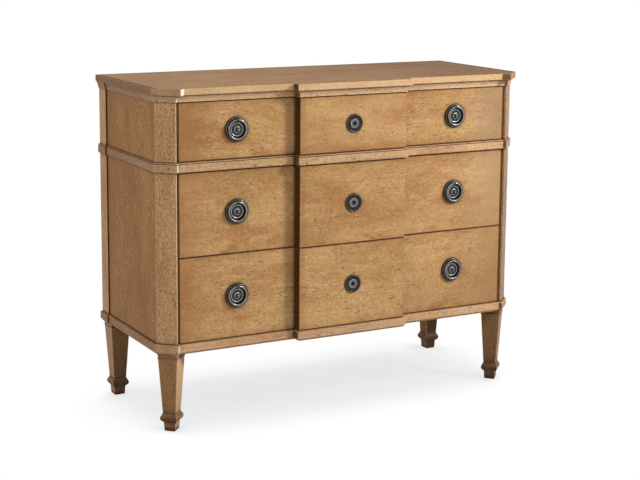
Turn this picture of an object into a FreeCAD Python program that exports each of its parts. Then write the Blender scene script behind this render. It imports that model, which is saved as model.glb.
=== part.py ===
import FreeCAD
import Part
import math
import os

# Chest of drawers with a stepped (breakfront) front and square tapered legs.
# Lengths are in millimetres. +X is to the right, the front faces -Y, +Z is up.
# The origin is on the floor, under the middle of the top slab.

Vector = FreeCAD.Vector

# Heights, from the floor up
leg_height = 203.0
base_rail_height = 25.0
bottom_space_height = 217.0
middle_space_height = 212.5
waist_rail_height = 25.0
top_space_height = 148.0
top_rail_height = 17.0
slab_thickness = 16.5

# Plan of the case
case_width = 1050.0
case_depth = 404.5
corner_width = 43.0
break_width = 312.0
break_step = 23.0
stile_proud = 4.2
side_thickness = 18.0
post_depth = 47.0
post_proud = 3.5
back_thickness = 8.0
back_rebate = 10.0
bottom_thickness = 15.0
rail_depth = 60.0
middle_rail_height = 20.0
edge_round = 1.2

# Overhangs of the slab beyond the case
front_overhang = 11.5
side_overhang = 11.5
back_overhang = 3.0
diagonal_overhang = 14.0
return_overhang = 19.4

# Mouldings: how far each stands off the case, and the sizes along its profile
top_moulding_proud = 6.0
top_moulding_foot = 2.6
top_moulding_fillet = 3.0
top_moulding_lip = 3.0
waist_moulding_proud = 5.0
waist_moulding_round = 3.6
waist_moulding_bead = 4.4
waist_moulding_quirk = 1.2
base_moulding_proud = 5.8
base_moulding_bevel = 2.6
base_moulding_cove = 5.4
base_moulding_bottom = 1.4

# Legs
leg_top_width = 51.0
leg_shaft_foot_width = 34.0
leg_inset = 3.0
rear_leg_back_inset = 1.0
rear_leg_side_inset = 5.5
capital_height = 14.0
capital_flare = 2.4
capital_bead = 3.0
collar_width = 45.5
collar_height = 17.0
collar_fillet_height = 3.0
collar_fillet_width = 37.5
foot_height = 23.0
foot_top_width = 31.0
foot_bottom_width = 28.0
foot_bevel = 1.5
leg_bolt_radius = 4.0
leg_bolt_length = 84.0
front_bolt_offset = 12.0

# Drawers
front_thickness = 20.0
front_gap = 1.5
drawer_side_thickness = 12.0
front_lap = 8.0
drawer_back_thickness = 12.0
drawer_back_drop = 8.0
drawer_bottom_thickness = 6.0
drawer_bottom_lift = 12.0
groove_depth = 5.0
drawer_headroom = 6.0
drawer_rear_gap = 12.0
running_clearance = 0.3

# Runners, guides, kickers and stops
runner_thickness = 18.0
runner_reach = 24.0
guide_height = 15.0
stop_height = 8.0
stop_width = 40.0
stop_length = 20.0
stop_spacing = 420.0

# Ring pulls
pull_inset = 160.0
plate_radius = 31.0
plate_thickness = 2.0
plate_rim_radius = 2.5
plate_bead_centre = 16.2
plate_bead_radius = 1.6
ring_radius = 24.0
ring_wire_radius = 2.4
ring_standoff = 8.0
hinge_bar_radius = 1.7
hinge_clearance = 0.06
knuckle_width = 7.0
knuckle_radius = 3.5
knuckle_side_gap = 0.35
boss_radius = 8.6
boss_height = 11.5
boss_step = 1.4
boss_neck_radius = 4.4
boss_tip_radius = 3.4
screw_radius = 2.0
screw_length = 15.0
screw_clearance = 0.1

# Escutcheons
escutcheon_radius = 23.5
escutcheon_thickness = 1.6
escutcheon_rim_radius = 1.5
dish_radius = 12.5
dish_height = 3.0
dish_edge = 1.2
keyhole_radius = 2.5
keyhole_slot_width = 3.2
keyhole_drop = 8.0
keyhole_depth = 6.0
tack_radius = 0.9
tack_length = 7.0
tack_spacing = 34.0

# Angles, in degrees
canted_angle = 45.0
full_turn = 360.0

# Shares: how far in from its corner a quarter arc's middle lies, and how deep the hollows are
arc_middle_share = 1 - math.sqrt(2) / 2
hollow_sag_share = 0.25

# One overrun for every cut that passes a face, and how close two places count as one
overrun = 5.0
same_place = 0.001

# Places worked out from the sizes
half_case = case_width / 2
half_opening = half_case - corner_width
half_break = break_width / 2
half_slab = half_case + side_overhang
slab_depth = back_overhang + case_depth + break_step + front_overhang
slab_back_y = slab_depth / 2
case_back_y = slab_back_y - back_overhang
drawer_plane_y = case_back_y - case_depth
break_plane_y = drawer_plane_y - break_step
rail_back_y = drawer_plane_y + rail_depth
post_front_y = case_back_y - post_depth
back_panel_y = case_back_y - back_thickness
post_outer_x = half_case + post_proud
side_inner_x = half_case - side_thickness

case_bottom_z = leg_height
base_rail_top_z = case_bottom_z + base_rail_height
middle_split_z = base_rail_top_z + bottom_space_height
waist_bottom_z = middle_split_z + middle_space_height
waist_top_z = waist_bottom_z + waist_rail_height
top_rail_bottom_z = waist_top_z + top_space_height
case_top_z = top_rail_bottom_z + top_rail_height
slab_top_z = case_top_z + slab_thickness
middle_rail_top_z = middle_split_z + middle_rail_height / 2
middle_rail_bottom_z = middle_split_z - middle_rail_height / 2

stile_edge_x = half_opening + stile_proud
stile_edge_y = drawer_plane_y - stile_proud
stile_corner_y = stile_edge_y + half_case - stile_edge_x

front_inner_y = drawer_plane_y + front_thickness
pull_x = half_opening - pull_inset
drawer_half_width = half_opening - front_gap
drawer_inner_x = drawer_half_width - drawer_side_thickness
drawer_back_y = back_panel_y - drawer_rear_gap

# Each drawer: the heights between which its front stands, then those of its sides
drawers = {
    "top": (
        (waist_top_z + front_gap, top_rail_bottom_z - front_gap),
        (waist_top_z + running_clearance, top_rail_bottom_z - drawer_headroom),
    ),
    "middle": (
        (middle_split_z + front_gap / 2, waist_bottom_z - front_gap),
        (middle_rail_top_z + running_clearance, waist_bottom_z - drawer_headroom),
    ),
    "bottom": (
        (base_rail_top_z + front_gap, middle_split_z - front_gap / 2),
        (base_rail_top_z + running_clearance, middle_rail_bottom_z - drawer_headroom),
    ),
}

hands = {"left": -1, "right": 1}


def save(name, *solids):
    """Write one named piece, which may be a group of separate solids."""
    shape = solids[0] if len(solids) == 1 else Part.makeCompound(list(solids))
    shape.exportStep(f"parts/{name}.step")
    print(name, len(shape.Solids), round(shape.Volume), shape.isValid())


def box(x_span, y_span, z_span):
    """A block between two x, two y and two z places."""
    corner = Vector(min(x_span), min(y_span), min(z_span))
    return Part.makeBox(max(x_span) - corner.x, max(y_span) - corner.y, max(z_span) - corner.z, corner)


def prism(points, z_low, z_high):
    """An upright block on a plan given as (x, y) points."""
    plan = Part.makePolygon([Vector(x, y, z_low) for x, y in points + points[:1]])
    return Part.Face(plan).extrude(Vector(0, 0, z_high - z_low))


def on_hand(shape, hand):
    """The right-hand shape as it is, or its mirror image for the left."""
    if hand > 0:
        return shape
    return shape.mirror(Vector(0, 0, 0), Vector(1, 0, 0))


def rounded(shape, radius, wanted):
    """Round the edges whose midpoints the test picks."""
    edges = [edge for edge in shape.Edges if wanted(edge.CenterOfMass, edge)]
    return shape.makeFillet(radius, edges)


def near(value, *places):
    """True where a value is at one of the places."""
    return any(math.isclose(value, place, abs_tol=same_place) for place in places)


def is_upright(edge):
    """True for a vertical edge."""
    return near(edge.Vertexes[0].X, edge.Vertexes[-1].X) and near(edge.Vertexes[0].Y, edge.Vertexes[-1].Y)


def corner_points(side_out, front_out, diagonal_out, return_out):
    """Plan of the right front corner, from the side's line round to the drawer plane."""
    root_two = math.sqrt(2)
    diagonal_line = half_case - stile_corner_y + diagonal_out * root_two
    return_line = stile_edge_x + stile_edge_y - return_out * root_two
    side_line = half_case + side_out
    front_line = drawer_plane_y - front_out
    return [
        (side_line, side_line - diagonal_line),
        ((diagonal_line + return_line) / 2, (return_line - diagonal_line) / 2),
        (return_line - front_line, front_line),
    ]


def break_points(front_out, break_out):
    """Plan of the right half of the centre step."""
    return [(half_break + break_out, y - front_out) for y in (drawer_plane_y, break_plane_y)]


def both_hands(points):
    """Points of the right half, followed by their mirror images in the other order."""
    return points + [(-x, y) for x, y in reversed(points)]


def top_slab():
    """The top, with its plan following the case and a small round on its long edges."""
    corner = corner_points(side_overhang, front_overhang, diagonal_overhang, return_overhang)
    plan = both_hands([(half_slab, slab_back_y)] + corner + break_points(front_overhang, front_overhang))
    slab = prism(plan, case_top_z, slab_top_z)
    return rounded(slab, edge_round, lambda middle, edge: near(middle.z, slab_top_z, case_top_z))


def moulding_path():
    """The line where a moulding meets the case, from the left rear to the right rear."""
    rear = [(post_outer_x, case_back_y), (post_outer_x, post_front_y), (half_case, post_front_y)]
    plan = both_hands(rear + corner_points(0, 0, 0, 0) + break_points(0, 0))
    return [Vector(x, y, 0) for x, y in reversed(plan)], len(rear)


def top_profile(place):
    """Small lip at the top, then a hollow curving back to a narrow foot."""
    hollow_top = top_rail_height - top_moulding_lip
    hollow_foot = top_moulding_fillet
    sag = (top_moulding_proud - top_moulding_foot) * hollow_sag_share
    middle = (top_moulding_proud + top_moulding_foot) / 2 - sag
    return Part.Wire([
        Part.makeLine(place(0, 0), place(top_moulding_foot, 0)),
        Part.makeLine(place(top_moulding_foot, 0), place(top_moulding_foot, hollow_foot)),
        Part.Arc(place(top_moulding_foot, hollow_foot), place(middle, (hollow_foot + hollow_top) / 2),
                 place(top_moulding_proud, hollow_top)).toShape(),
        Part.makeLine(place(top_moulding_proud, hollow_top), place(top_moulding_proud, top_rail_height)),
        Part.makeLine(place(top_moulding_proud, top_rail_height), place(0, top_rail_height)),
        Part.makeLine(place(0, top_rail_height), place(0, 0)),
    ])


def waist_profile(place):
    """Flat band rounded under, with a quirk and a small bead along the top."""
    proud = waist_moulding_proud
    soft = waist_moulding_round
    bead_foot = waist_rail_height - waist_moulding_bead
    bead_out = proud - waist_moulding_quirk
    bead_radius = waist_moulding_bead / 2
    sag = soft * arc_middle_share
    return Part.Wire([
        Part.makeLine(place(0, 0), place(proud - soft, 0)),
        Part.Arc(place(proud - soft, 0), place(proud - sag, sag), place(proud, soft)).toShape(),
        Part.makeLine(place(proud, soft), place(proud, bead_foot)),
        Part.makeLine(place(proud, bead_foot), place(bead_out - bead_radius, bead_foot)),
        Part.Arc(place(bead_out - bead_radius, bead_foot), place(bead_out, bead_foot + bead_radius),
                 place(bead_out - bead_radius, waist_rail_height)).toShape(),
        Part.makeLine(place(bead_out - bead_radius, waist_rail_height), place(0, waist_rail_height)),
        Part.makeLine(place(0, waist_rail_height), place(0, 0)),
    ])


def base_profile(place):
    """Upright band with a bevel above and a hollow below that runs back to the leg."""
    proud = base_moulding_proud
    low = base_moulding_bottom
    turn = arc_middle_share
    depth = proud - low
    band_top = base_rail_height - base_moulding_bevel
    return Part.Wire([
        Part.makeLine(place(0, 0), place(low, 0)),
        Part.Arc(place(low, 0), place(low + depth * turn, base_moulding_cove * (1 - turn)),
                 place(proud, base_moulding_cove)).toShape(),
        Part.makeLine(place(proud, base_moulding_cove), place(proud, band_top)),
        Part.makeLine(place(proud, band_top), place(proud - base_moulding_bevel, base_rail_height)),
        Part.makeLine(place(proud - base_moulding_bevel, base_rail_height), place(0, base_rail_height)),
        Part.makeLine(place(0, base_rail_height), place(0, 0)),
    ])


def outward(start, end):
    """Unit direction away from the case, for a stretch walked with the case on the left."""
    along = (end - start).normalize()
    return Vector(along.y, -along.x, 0)


def mitre(before, after, reach):
    """From a corner of the plan to the same corner of a line drawn that far outside it."""
    return (before + after) * (reach / (1 + before.dot(after)))


def moulding_lengths(draw_profile, z_place):
    """The straight lengths of a moulding round the case, each cut to its mitres."""
    points, side_count = moulding_path()
    normals = [outward(start, end) for start, end in zip(points, points[1:])]
    reach = max(top_moulding_proud, waist_moulding_proud, base_moulding_proud) + overrun
    mitres = [mitre(before, after, reach) for before, after in zip(normals, normals[1:])]
    mitres = [normals[0] * reach] + mitres + [normals[-1] * reach]
    lengths = []
    for index, normal in enumerate(normals):
        start = points[index]
        end = points[index + 1]
        past = (end - start).normalize() * reach

        def place(out, up):
            return start - past + normal * out + Vector(0, 0, z_place + up)

        bar = Part.Face(draw_profile(place)).extrude(end - start + past + past)
        plan = [start, end, end + mitres[index + 1], start + mitres[index]]
        cell = prism([(point.x, point.y) for point in plan], z_place - overrun, slab_top_z + overrun)
        lengths.append(bar.common(cell).Solids[0])
    return lengths[:side_count], lengths[side_count:-side_count], lengths[-side_count:]


def save_moulding(name, draw_profile, z_place):
    """Write a moulding's mitred lengths as its left side, its front and its right side."""
    for part_name, lengths in zip(("left", "front", "right"), moulding_lengths(draw_profile, z_place)):
        save(f"{name}_{part_name}", *lengths)


def front_stile():
    """Right corner stile: a diagonal face, a short return and a tongue behind the side panel."""
    outer, edge, inner = corner_points(0, 0, 0, 0)
    tongue = [(half_opening, rail_back_y), (side_inner_x, rail_back_y), (side_inner_x, stile_corner_y)]
    plan = [outer, edge, inner] + tongue
    stile = prism(plan, case_bottom_z, case_top_z)
    stile = rounded(stile, edge_round, lambda middle, line: is_upright(line) and near(middle.x, edge[0]))
    return stile.cut(leg_bolt("front"))


def side_panel():
    """Right side panel, between the stile and the rear post."""
    return box((side_inner_x, half_case), (stile_corner_y, post_front_y), (case_bottom_z, case_top_z))


def rear_post():
    """Right rear post, standing proud of the side panel, with a rebate for the back panel."""
    post = box((half_opening, post_outer_x), (post_front_y, case_back_y), (case_bottom_z, case_top_z))
    post = rounded(post, edge_round, lambda middle, edge: is_upright(edge) and near(middle.x, post_outer_x))
    return post.cut(back_panel()).cut(leg_bolt("rear"))


def back_panel():
    """Plain back panel, let into the rear posts."""
    reach = half_opening + back_rebate
    return box((-reach, reach), (back_panel_y, case_back_y), (case_bottom_z, case_top_z))


def bottom_panel():
    """Panel that closes the case underneath."""
    rear_notch = [(half_opening, back_panel_y), (half_opening, post_front_y), (side_inner_x, post_front_y)]
    plan = both_hands(rear_notch + [(side_inner_x, rail_back_y)])
    return prism(plan, case_bottom_z, case_bottom_z + bottom_thickness)


def stepped_rail(z_low, z_high):
    """A front rail between the stiles, and the block in front of it that steps forward at the centre."""
    rail = box((-half_opening, half_opening), (drawer_plane_y, rail_back_y), (z_low, z_high))
    block = box((-half_break, half_break), (break_plane_y, drawer_plane_y), (z_low, z_high))
    return [rail, block]


def waist_rail():
    """Rail under the top drawer, with two small blocks that stop the drawer."""
    stop_y = front_inner_y + running_clearance
    stops = []
    for hand in hands.values():
        ends = (hand * stop_spacing / 2 - stop_width / 2, hand * stop_spacing / 2 + stop_width / 2)
        stops.append(box(ends, (stop_y, stop_y + stop_length), (waist_top_z, waist_top_z + stop_height)))
    return stepped_rail(waist_bottom_z, waist_top_z) + stops


def middle_rail():
    """Rail between the two deep drawers, hidden behind their fronts."""
    return box((-half_opening, half_opening), (front_inner_y + running_clearance, rail_back_y),
               (middle_rail_bottom_z, middle_rail_top_z))


def side_strip(z_low, z_high):
    """Right strip fixed to the side panel, reaching in under or over a drawer's side."""
    inner_x = half_opening - runner_reach
    shelf = box((inner_x, half_opening), (rail_back_y, back_panel_y), (z_low, z_high))
    cleat = box((half_opening, side_inner_x), (rail_back_y, post_front_y), (z_low, z_high))
    return shelf.fuse(cleat)


def runner(z_low, z_high):
    """Right runner: a shelf under the drawer's side and a guide beside it."""
    guide = box((half_opening, side_inner_x), (rail_back_y, post_front_y), (z_low, z_high + guide_height))
    return side_strip(z_low, z_high).fuse(guide).removeSplitter()


def kicker(z_low, z_high):
    """Right strip under the slab, which keeps the open top drawer from tipping."""
    return side_strip(z_low, z_high).removeSplitter()


def front_leg_place():
    """Where the right front leg stands: behind the middle of the stile's diagonal face."""
    inward = (leg_top_width / 2 + leg_inset) / math.sqrt(2)
    return ((half_case + stile_edge_x) / 2 - inward, (stile_corner_y + stile_edge_y) / 2 + inward)


def rear_leg_place():
    """Where the right rear leg stands, under the rear post."""
    return (post_outer_x - rear_leg_side_inset - leg_top_width / 2,
            case_back_y - rear_leg_back_inset - leg_top_width / 2)


def leg_bolt(row):
    """The right-hand hanger bolt that joins a leg to the post or stile above it."""
    if row == "front":
        x, y = front_leg_place()
        x += front_bolt_offset
    else:
        x, y = rear_leg_place()
    foot = Vector(x, y, leg_height - leg_bolt_length / 2)
    return Part.makeCylinder(leg_bolt_radius, leg_bolt_length, foot)


def leg_outline(place):
    """Half of the leg's silhouette as edges, from the floor up."""
    top_half = leg_top_width / 2
    shaft_foot_half = leg_shaft_foot_width / 2
    fillet_half = collar_fillet_width / 2
    collar_half = collar_width / 2
    foot_top_half = foot_top_width / 2
    foot_half = foot_bottom_width / 2
    collar_low = foot_height + collar_fillet_height
    collar_high = collar_low + collar_height
    shaft_low = collar_high + collar_fillet_height
    bead_low = leg_height - capital_height
    bead_high = bead_low + capital_bead
    bead_out = top_half + capital_bead / 2
    flare_half = top_half + capital_flare
    flare_middle = top_half + capital_flare * hollow_sag_share
    return [
        Part.makeLine(place(0, 0), place(foot_half - foot_bevel, 0)),
        Part.makeLine(place(foot_half - foot_bevel, 0), place(foot_half, foot_bevel)),
        Part.makeLine(place(foot_half, foot_bevel), place(foot_top_half, foot_height)),
        Part.makeLine(place(foot_top_half, foot_height), place(fillet_half, collar_low)),
        Part.Arc(place(fillet_half, collar_low), place(collar_half, (collar_low + collar_high) / 2),
                 place(fillet_half, collar_high)).toShape(),
        Part.makeLine(place(fillet_half, collar_high), place(fillet_half, shaft_low)),
        Part.makeLine(place(fillet_half, shaft_low), place(shaft_foot_half, shaft_low)),
        Part.makeLine(place(shaft_foot_half, shaft_low), place(top_half, bead_low)),
        Part.Arc(place(top_half, bead_low), place(bead_out, (bead_low + bead_high) / 2),
                 place(top_half, bead_high)).toShape(),
        Part.Arc(place(top_half, bead_high), place(flare_middle, (bead_high + leg_height) / 2),
                 place(flare_half, leg_height)).toShape(),
        Part.makeLine(place(flare_half, leg_height), place(0, leg_height)),
        Part.makeLine(place(0, leg_height), place(0, 0)),
    ]


def square_leg():
    """A leg of square section on the Z axis: the crossing of two bars of the same silhouette."""
    reach = leg_top_width

    def bar(place, across, sideways):
        half = Part.Face(Part.Wire(leg_outline(place))).extrude(across)
        return half.fuse(half.mirror(Vector(0, 0, 0), sideways)).removeSplitter()

    lengthwise = bar(lambda out, up: Vector(out, -reach, up), Vector(0, 2 * reach, 0), Vector(1, 0, 0))
    crosswise = bar(lambda out, up: Vector(-reach, out, up), Vector(2 * reach, 0, 0), Vector(0, 1, 0))
    return lengthwise.common(crosswise).Solids[0]


def leg(row):
    """The right leg of a row. A front leg is turned to face out with the diagonal stile."""
    shape = square_leg()
    x, y = rear_leg_place()
    if row == "front":
        shape.rotate(Vector(0, 0, 0), Vector(0, 0, 1), canted_angle)
        x, y = front_leg_place()
    shape.translate(Vector(x, y, 0))
    return shape.cut(leg_bolt(row))


def drawer_side(side_span):
    """Right side of a drawer, its front end let into the drawer front."""
    return box((drawer_inner_x, drawer_half_width), (drawer_plane_y + front_lap, drawer_back_y), side_span)


def drawer_bottom(side_span):
    """Thin bottom panel, held in grooves of the front and sides and running under the back."""
    low = min(side_span) + drawer_bottom_lift
    reach = drawer_inner_x + groove_depth
    groove_y = front_inner_y - groove_depth
    return box((-reach, reach), (groove_y, drawer_back_y), (low, low + drawer_bottom_thickness))


def drawer_back(side_span):
    """Drawer back, standing on the bottom panel between the sides."""
    low = min(side_span) + drawer_bottom_lift + drawer_bottom_thickness
    return box((-drawer_inner_x, drawer_inner_x), (drawer_back_y - drawer_back_thickness, drawer_back_y),
               (low, max(side_span) - drawer_back_drop))


def drawer_front(front_span, side_span):
    """Drawer front with its centre standing forward, and every socket for its fittings."""
    panel = box((-drawer_half_width, drawer_half_width), (drawer_plane_y, front_inner_y), front_span)
    panel = rounded(panel, edge_round, lambda middle, edge: near(middle.y, drawer_plane_y))
    block = box((-half_break, half_break), (break_plane_y, front_inner_y), front_span)
    block = rounded(block, edge_round, lambda middle, edge: near(middle.y, break_plane_y))
    front = panel.fuse(block).removeSplitter()
    front = front.cut(drawer_bottom(side_span))
    middle_z = sum(front_span) / 2
    shank = Part.makeCylinder(screw_radius, screw_length, Vector(0, 0, 0), Vector(0, 1, 0))
    for hand in hands.values():
        front = front.cut(on_hand(drawer_side(side_span), hand))
        front = front.cut(placed(shank, hand * pull_x, drawer_plane_y, middle_z))
    pocket = keyhole(0, keyhole_depth)
    front = front.cut(placed(pocket, 0, break_plane_y, middle_z))
    for tack in tacks():
        front = front.cut(placed(tack, 0, break_plane_y, middle_z))
    return front


def placed(shape, x, y, z):
    """A copy of a fitting, moved from the origin to its place on a face."""
    moved = shape.copy()
    moved.translate(Vector(x, y, z))
    return moved


def rim_edges(place, rim_centre, rim_radius, floor_height):
    """A rolled rim: the outer half round from the back, then down inside to the plate."""
    turn = rim_radius * (1 - arc_middle_share)
    inner = rim_centre - math.sqrt(rim_radius ** 2 - (rim_radius - floor_height) ** 2)
    crown = place(rim_centre, 2 * rim_radius)
    return [
        Part.Arc(place(rim_centre, 0), place(rim_centre + rim_radius, rim_radius), crown).toShape(),
        Part.Arc(crown, place(rim_centre - turn, rim_radius + turn), place(inner, floor_height)).toShape(),
    ], inner


def revolved(edges):
    """Turn a closed outline about the Y axis."""
    return Part.Face(Part.Wire(edges)).revolve(Vector(0, 0, 0), Vector(0, 1, 0), full_turn)


def lathe_place(radius, height):
    """A point of a turned fitting's outline; height is towards the front."""
    return Vector(radius, -height, 0)


def pull_plate():
    """Round back plate with a rolled rim, a bead, and the knuckle that the ring hangs from."""
    place = lathe_place
    hole = screw_radius + screw_clearance
    rim_centre = plate_radius - plate_rim_radius
    rim, rim_inner = rim_edges(place, rim_centre, plate_rim_radius, plate_thickness)
    bead_outer = plate_bead_centre + plate_bead_radius
    bead_inner = plate_bead_centre - plate_bead_radius
    plate = revolved([Part.makeLine(place(hole, 0), place(rim_centre, 0))] + rim + [
        Part.makeLine(place(rim_inner, plate_thickness), place(bead_outer, plate_thickness)),
        Part.Arc(place(bead_outer, plate_thickness),
                 place(plate_bead_centre, plate_thickness + plate_bead_radius),
                 place(bead_inner, plate_thickness)).toShape(),
        Part.makeLine(place(bead_inner, plate_thickness), place(hole, plate_thickness)),
        Part.makeLine(place(hole, plate_thickness), place(hole, 0)),
    ])
    half_knuckle = knuckle_width / 2
    barrel_foot = Vector(-half_knuckle, -ring_standoff, ring_radius)
    barrel = Part.makeCylinder(knuckle_radius, knuckle_width, barrel_foot, Vector(1, 0, 0))
    web = box((-half_knuckle, half_knuckle), (-ring_standoff, -plate_thickness / 2),
              (ring_radius - knuckle_radius, ring_radius + knuckle_radius))
    bore = Part.makeCylinder(hinge_bar_radius + hinge_clearance, knuckle_width + 2 * overrun,
                             Vector(-half_knuckle - overrun, -ring_standoff, ring_radius), Vector(1, 0, 0))
    return plate.fuse([barrel, web]).removeSplitter().cut(bore)


def pull_ring():
    """Round ring with a slimmer straight bar at the top, which turns in the knuckle."""
    ring = Part.makeTorus(ring_radius, ring_wire_radius, Vector(0, -ring_standoff, 0), Vector(0, 1, 0))
    half_gap = knuckle_width / 2 + knuckle_side_gap
    wire = ring_wire_radius + overrun
    gap = box((-half_gap, half_gap), (-ring_standoff - wire, -ring_standoff + wire),
              (ring_radius - wire, ring_radius + wire))
    half_bar = half_gap + hinge_bar_radius
    bar = Part.makeCylinder(hinge_bar_radius, 2 * half_bar, Vector(-half_bar, -ring_standoff, ring_radius),
                            Vector(1, 0, 0))
    return ring.cut(gap).fuse(bar).removeSplitter()


def pull_screw():
    """Turned centre boss on a screw that holds the plate to the drawer front."""
    place = lathe_place
    foot = plate_thickness
    shoulder = foot + boss_step
    neck = foot + boss_height / 2
    tip = foot + boss_height
    hollow = (boss_neck_radius + arc_middle_share * (boss_radius - boss_neck_radius),
              shoulder + arc_middle_share * (neck - shoulder))
    turn = boss_tip_radius * (1 - arc_middle_share)
    return revolved([
        Part.makeLine(place(0, -screw_length), place(screw_radius, -screw_length)),
        Part.makeLine(place(screw_radius, -screw_length), place(screw_radius, foot)),
        Part.makeLine(place(screw_radius, foot), place(boss_radius, foot)),
        Part.makeLine(place(boss_radius, foot), place(boss_radius, shoulder)),
        Part.Arc(place(boss_radius, shoulder), place(*hollow), place(boss_neck_radius, neck)).toShape(),
        Part.makeLine(place(boss_neck_radius, neck), place(boss_tip_radius, tip - boss_tip_radius)),
        Part.Arc(place(boss_tip_radius, tip - boss_tip_radius), place(turn, tip - boss_tip_radius + turn),
                 place(0, tip)).toShape(),
        Part.makeLine(place(0, tip), place(0, -screw_length)),
    ])


def keyhole(y_front, y_back):
    """The keyhole's shape between two depths: a round eye over a narrow slot."""
    eye_z = (keyhole_drop - keyhole_radius) / 2
    eye = Part.makeCylinder(keyhole_radius, y_back - y_front, Vector(0, y_front, eye_z), Vector(0, 1, 0))
    half_slot = keyhole_slot_width / 2
    slot = box((-half_slot, half_slot), (y_front, y_back), (eye_z - keyhole_drop, eye_z))
    return eye.fuse(slot).removeSplitter()


def tacks():
    """The two tacks behind an escutcheon."""
    feet = [Vector(hand * tack_spacing / 2, 0, 0) for hand in hands.values()]
    return [Part.makeCylinder(tack_radius, tack_length, foot, Vector(0, 1, 0)) for foot in feet]


def escutcheon():
    """Round keyhole plate with a rolled rim and a raised dish."""
    place = lathe_place
    rim_centre = escutcheon_radius - escutcheon_rim_radius
    dish_flat = dish_radius - dish_edge
    rim, rim_inner = rim_edges(place, rim_centre, escutcheon_rim_radius, escutcheon_thickness)
    plate = revolved([Part.makeLine(place(0, 0), place(rim_centre, 0))] + rim + [
        Part.makeLine(place(rim_inner, escutcheon_thickness), place(dish_radius, escutcheon_thickness)),
        Part.makeLine(place(dish_radius, escutcheon_thickness), place(dish_radius, dish_height - dish_edge)),
        Part.makeLine(place(dish_radius, dish_height - dish_edge), place(dish_flat, dish_height)),
        Part.makeLine(place(dish_flat, dish_height), place(0, dish_height)),
        Part.makeLine(place(0, dish_height), place(0, 0)),
    ])
    plate = plate.cut(keyhole(-dish_height - overrun, overrun))
    return plate.fuse(tacks()).removeSplitter()


def save_pair(name, draw):
    """Write a right-hand piece and its mirror image."""
    for hand_name, hand in hands.items():
        save(f"{name}_{hand_name}", on_hand(draw(), hand))


def save_drawer(name, front_span, side_span):
    """Write one drawer: its five boards and its fittings."""
    save(f"{name}_drawer_front", drawer_front(front_span, side_span))
    bottom = drawer_bottom(side_span)
    save_pair(f"{name}_drawer_side", lambda: drawer_side(side_span).cut(bottom))
    save(f"{name}_drawer_back", drawer_back(side_span))
    save(f"{name}_drawer_bottom", bottom)
    middle_z = sum(front_span) / 2
    pull_places = {hand_name: hand * pull_x for hand_name, hand in hands.items()}
    for hand_name, x in pull_places.items():
        save(f"{name}_{hand_name}_ring", placed(pull_ring(), x, drawer_plane_y, middle_z))
    for kind, fitting in (("plates", pull_plate()), ("screws", pull_screw())):
        pair = [placed(fitting, x, drawer_plane_y, middle_z) for x in pull_places.values()]
        save(f"{name}_pull_{kind}", *pair)
    save(f"{name}_escutcheon", placed(escutcheon(), 0, break_plane_y, middle_z))


def strips(low, high, draw):
    """A left and a right strip of the same kind."""
    return [on_hand(draw(low, high), hand) for hand in hands.values()]


def save_case():
    """Write the case: top, posts, panels, rails, mouldings, runners and legs."""
    save("top_slab", top_slab())
    save_moulding("top_moulding", top_profile, top_rail_bottom_z)
    save_moulding("waist_moulding", waist_profile, waist_bottom_z)
    save_moulding("base_moulding", base_profile, case_bottom_z)
    save_pair("side_panel", side_panel)
    save_pair("rear_post", rear_post)
    save_pair("front_stile", front_stile)
    save("back_panel", back_panel())
    save("bottom_panel", bottom_panel())
    save("top_rail", *stepped_rail(top_rail_bottom_z, case_top_z))
    save("waist_rail", *waist_rail())
    save("middle_rail", middle_rail())
    save("base_rail", *stepped_rail(case_bottom_z, base_rail_top_z))
    kickers = strips(top_rail_bottom_z, case_top_z, kicker)
    save("top_drawer_runners", *strips(waist_top_z - runner_thickness, waist_top_z, runner), *kickers)
    save("middle_drawer_runners", *strips(middle_rail_top_z - runner_thickness, middle_rail_top_z, runner))
    save("bottom_drawer_runners", *strips(case_bottom_z + bottom_thickness, base_rail_top_z, runner))
    save_pair("front_leg", lambda: leg("front"))
    save_pair("rear_leg", lambda: leg("rear"))
    save("leg_bolts", *[on_hand(leg_bolt(row), hand) for row in ("front", "rear") for hand in hands.values()])


os.makedirs("parts", exist_ok=True)
save_case()
for drawer_name, (front_heights, side_heights) in drawers.items():
    save_drawer(drawer_name, front_heights, side_heights)
print("height", slab_top_z, "width", 2 * half_slab, "depth", slab_depth)
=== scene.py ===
# %% [markdown]
# # A chest of drawers with a stepped front
# This notebook dresses a wooden chest: three wide drawers, canted front corners, mouldings that
# run round the case, ring pulls of dark metal and four square tapered legs.
# The boards already exist at their real size and place, as the frame that the first code cell
# loads. So the work here is what a finisher does after the joiner: stain, glaze, wear and metal,
# together with some painted shade and painted highlights.
# Everything is in metres. The front faces -Y, +X is to the right and +Z is up.

# %% Load the joined boards
import math
from typing import NamedTuple

import bmesh
import bpy
from mathutils import Matrix, Vector


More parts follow.
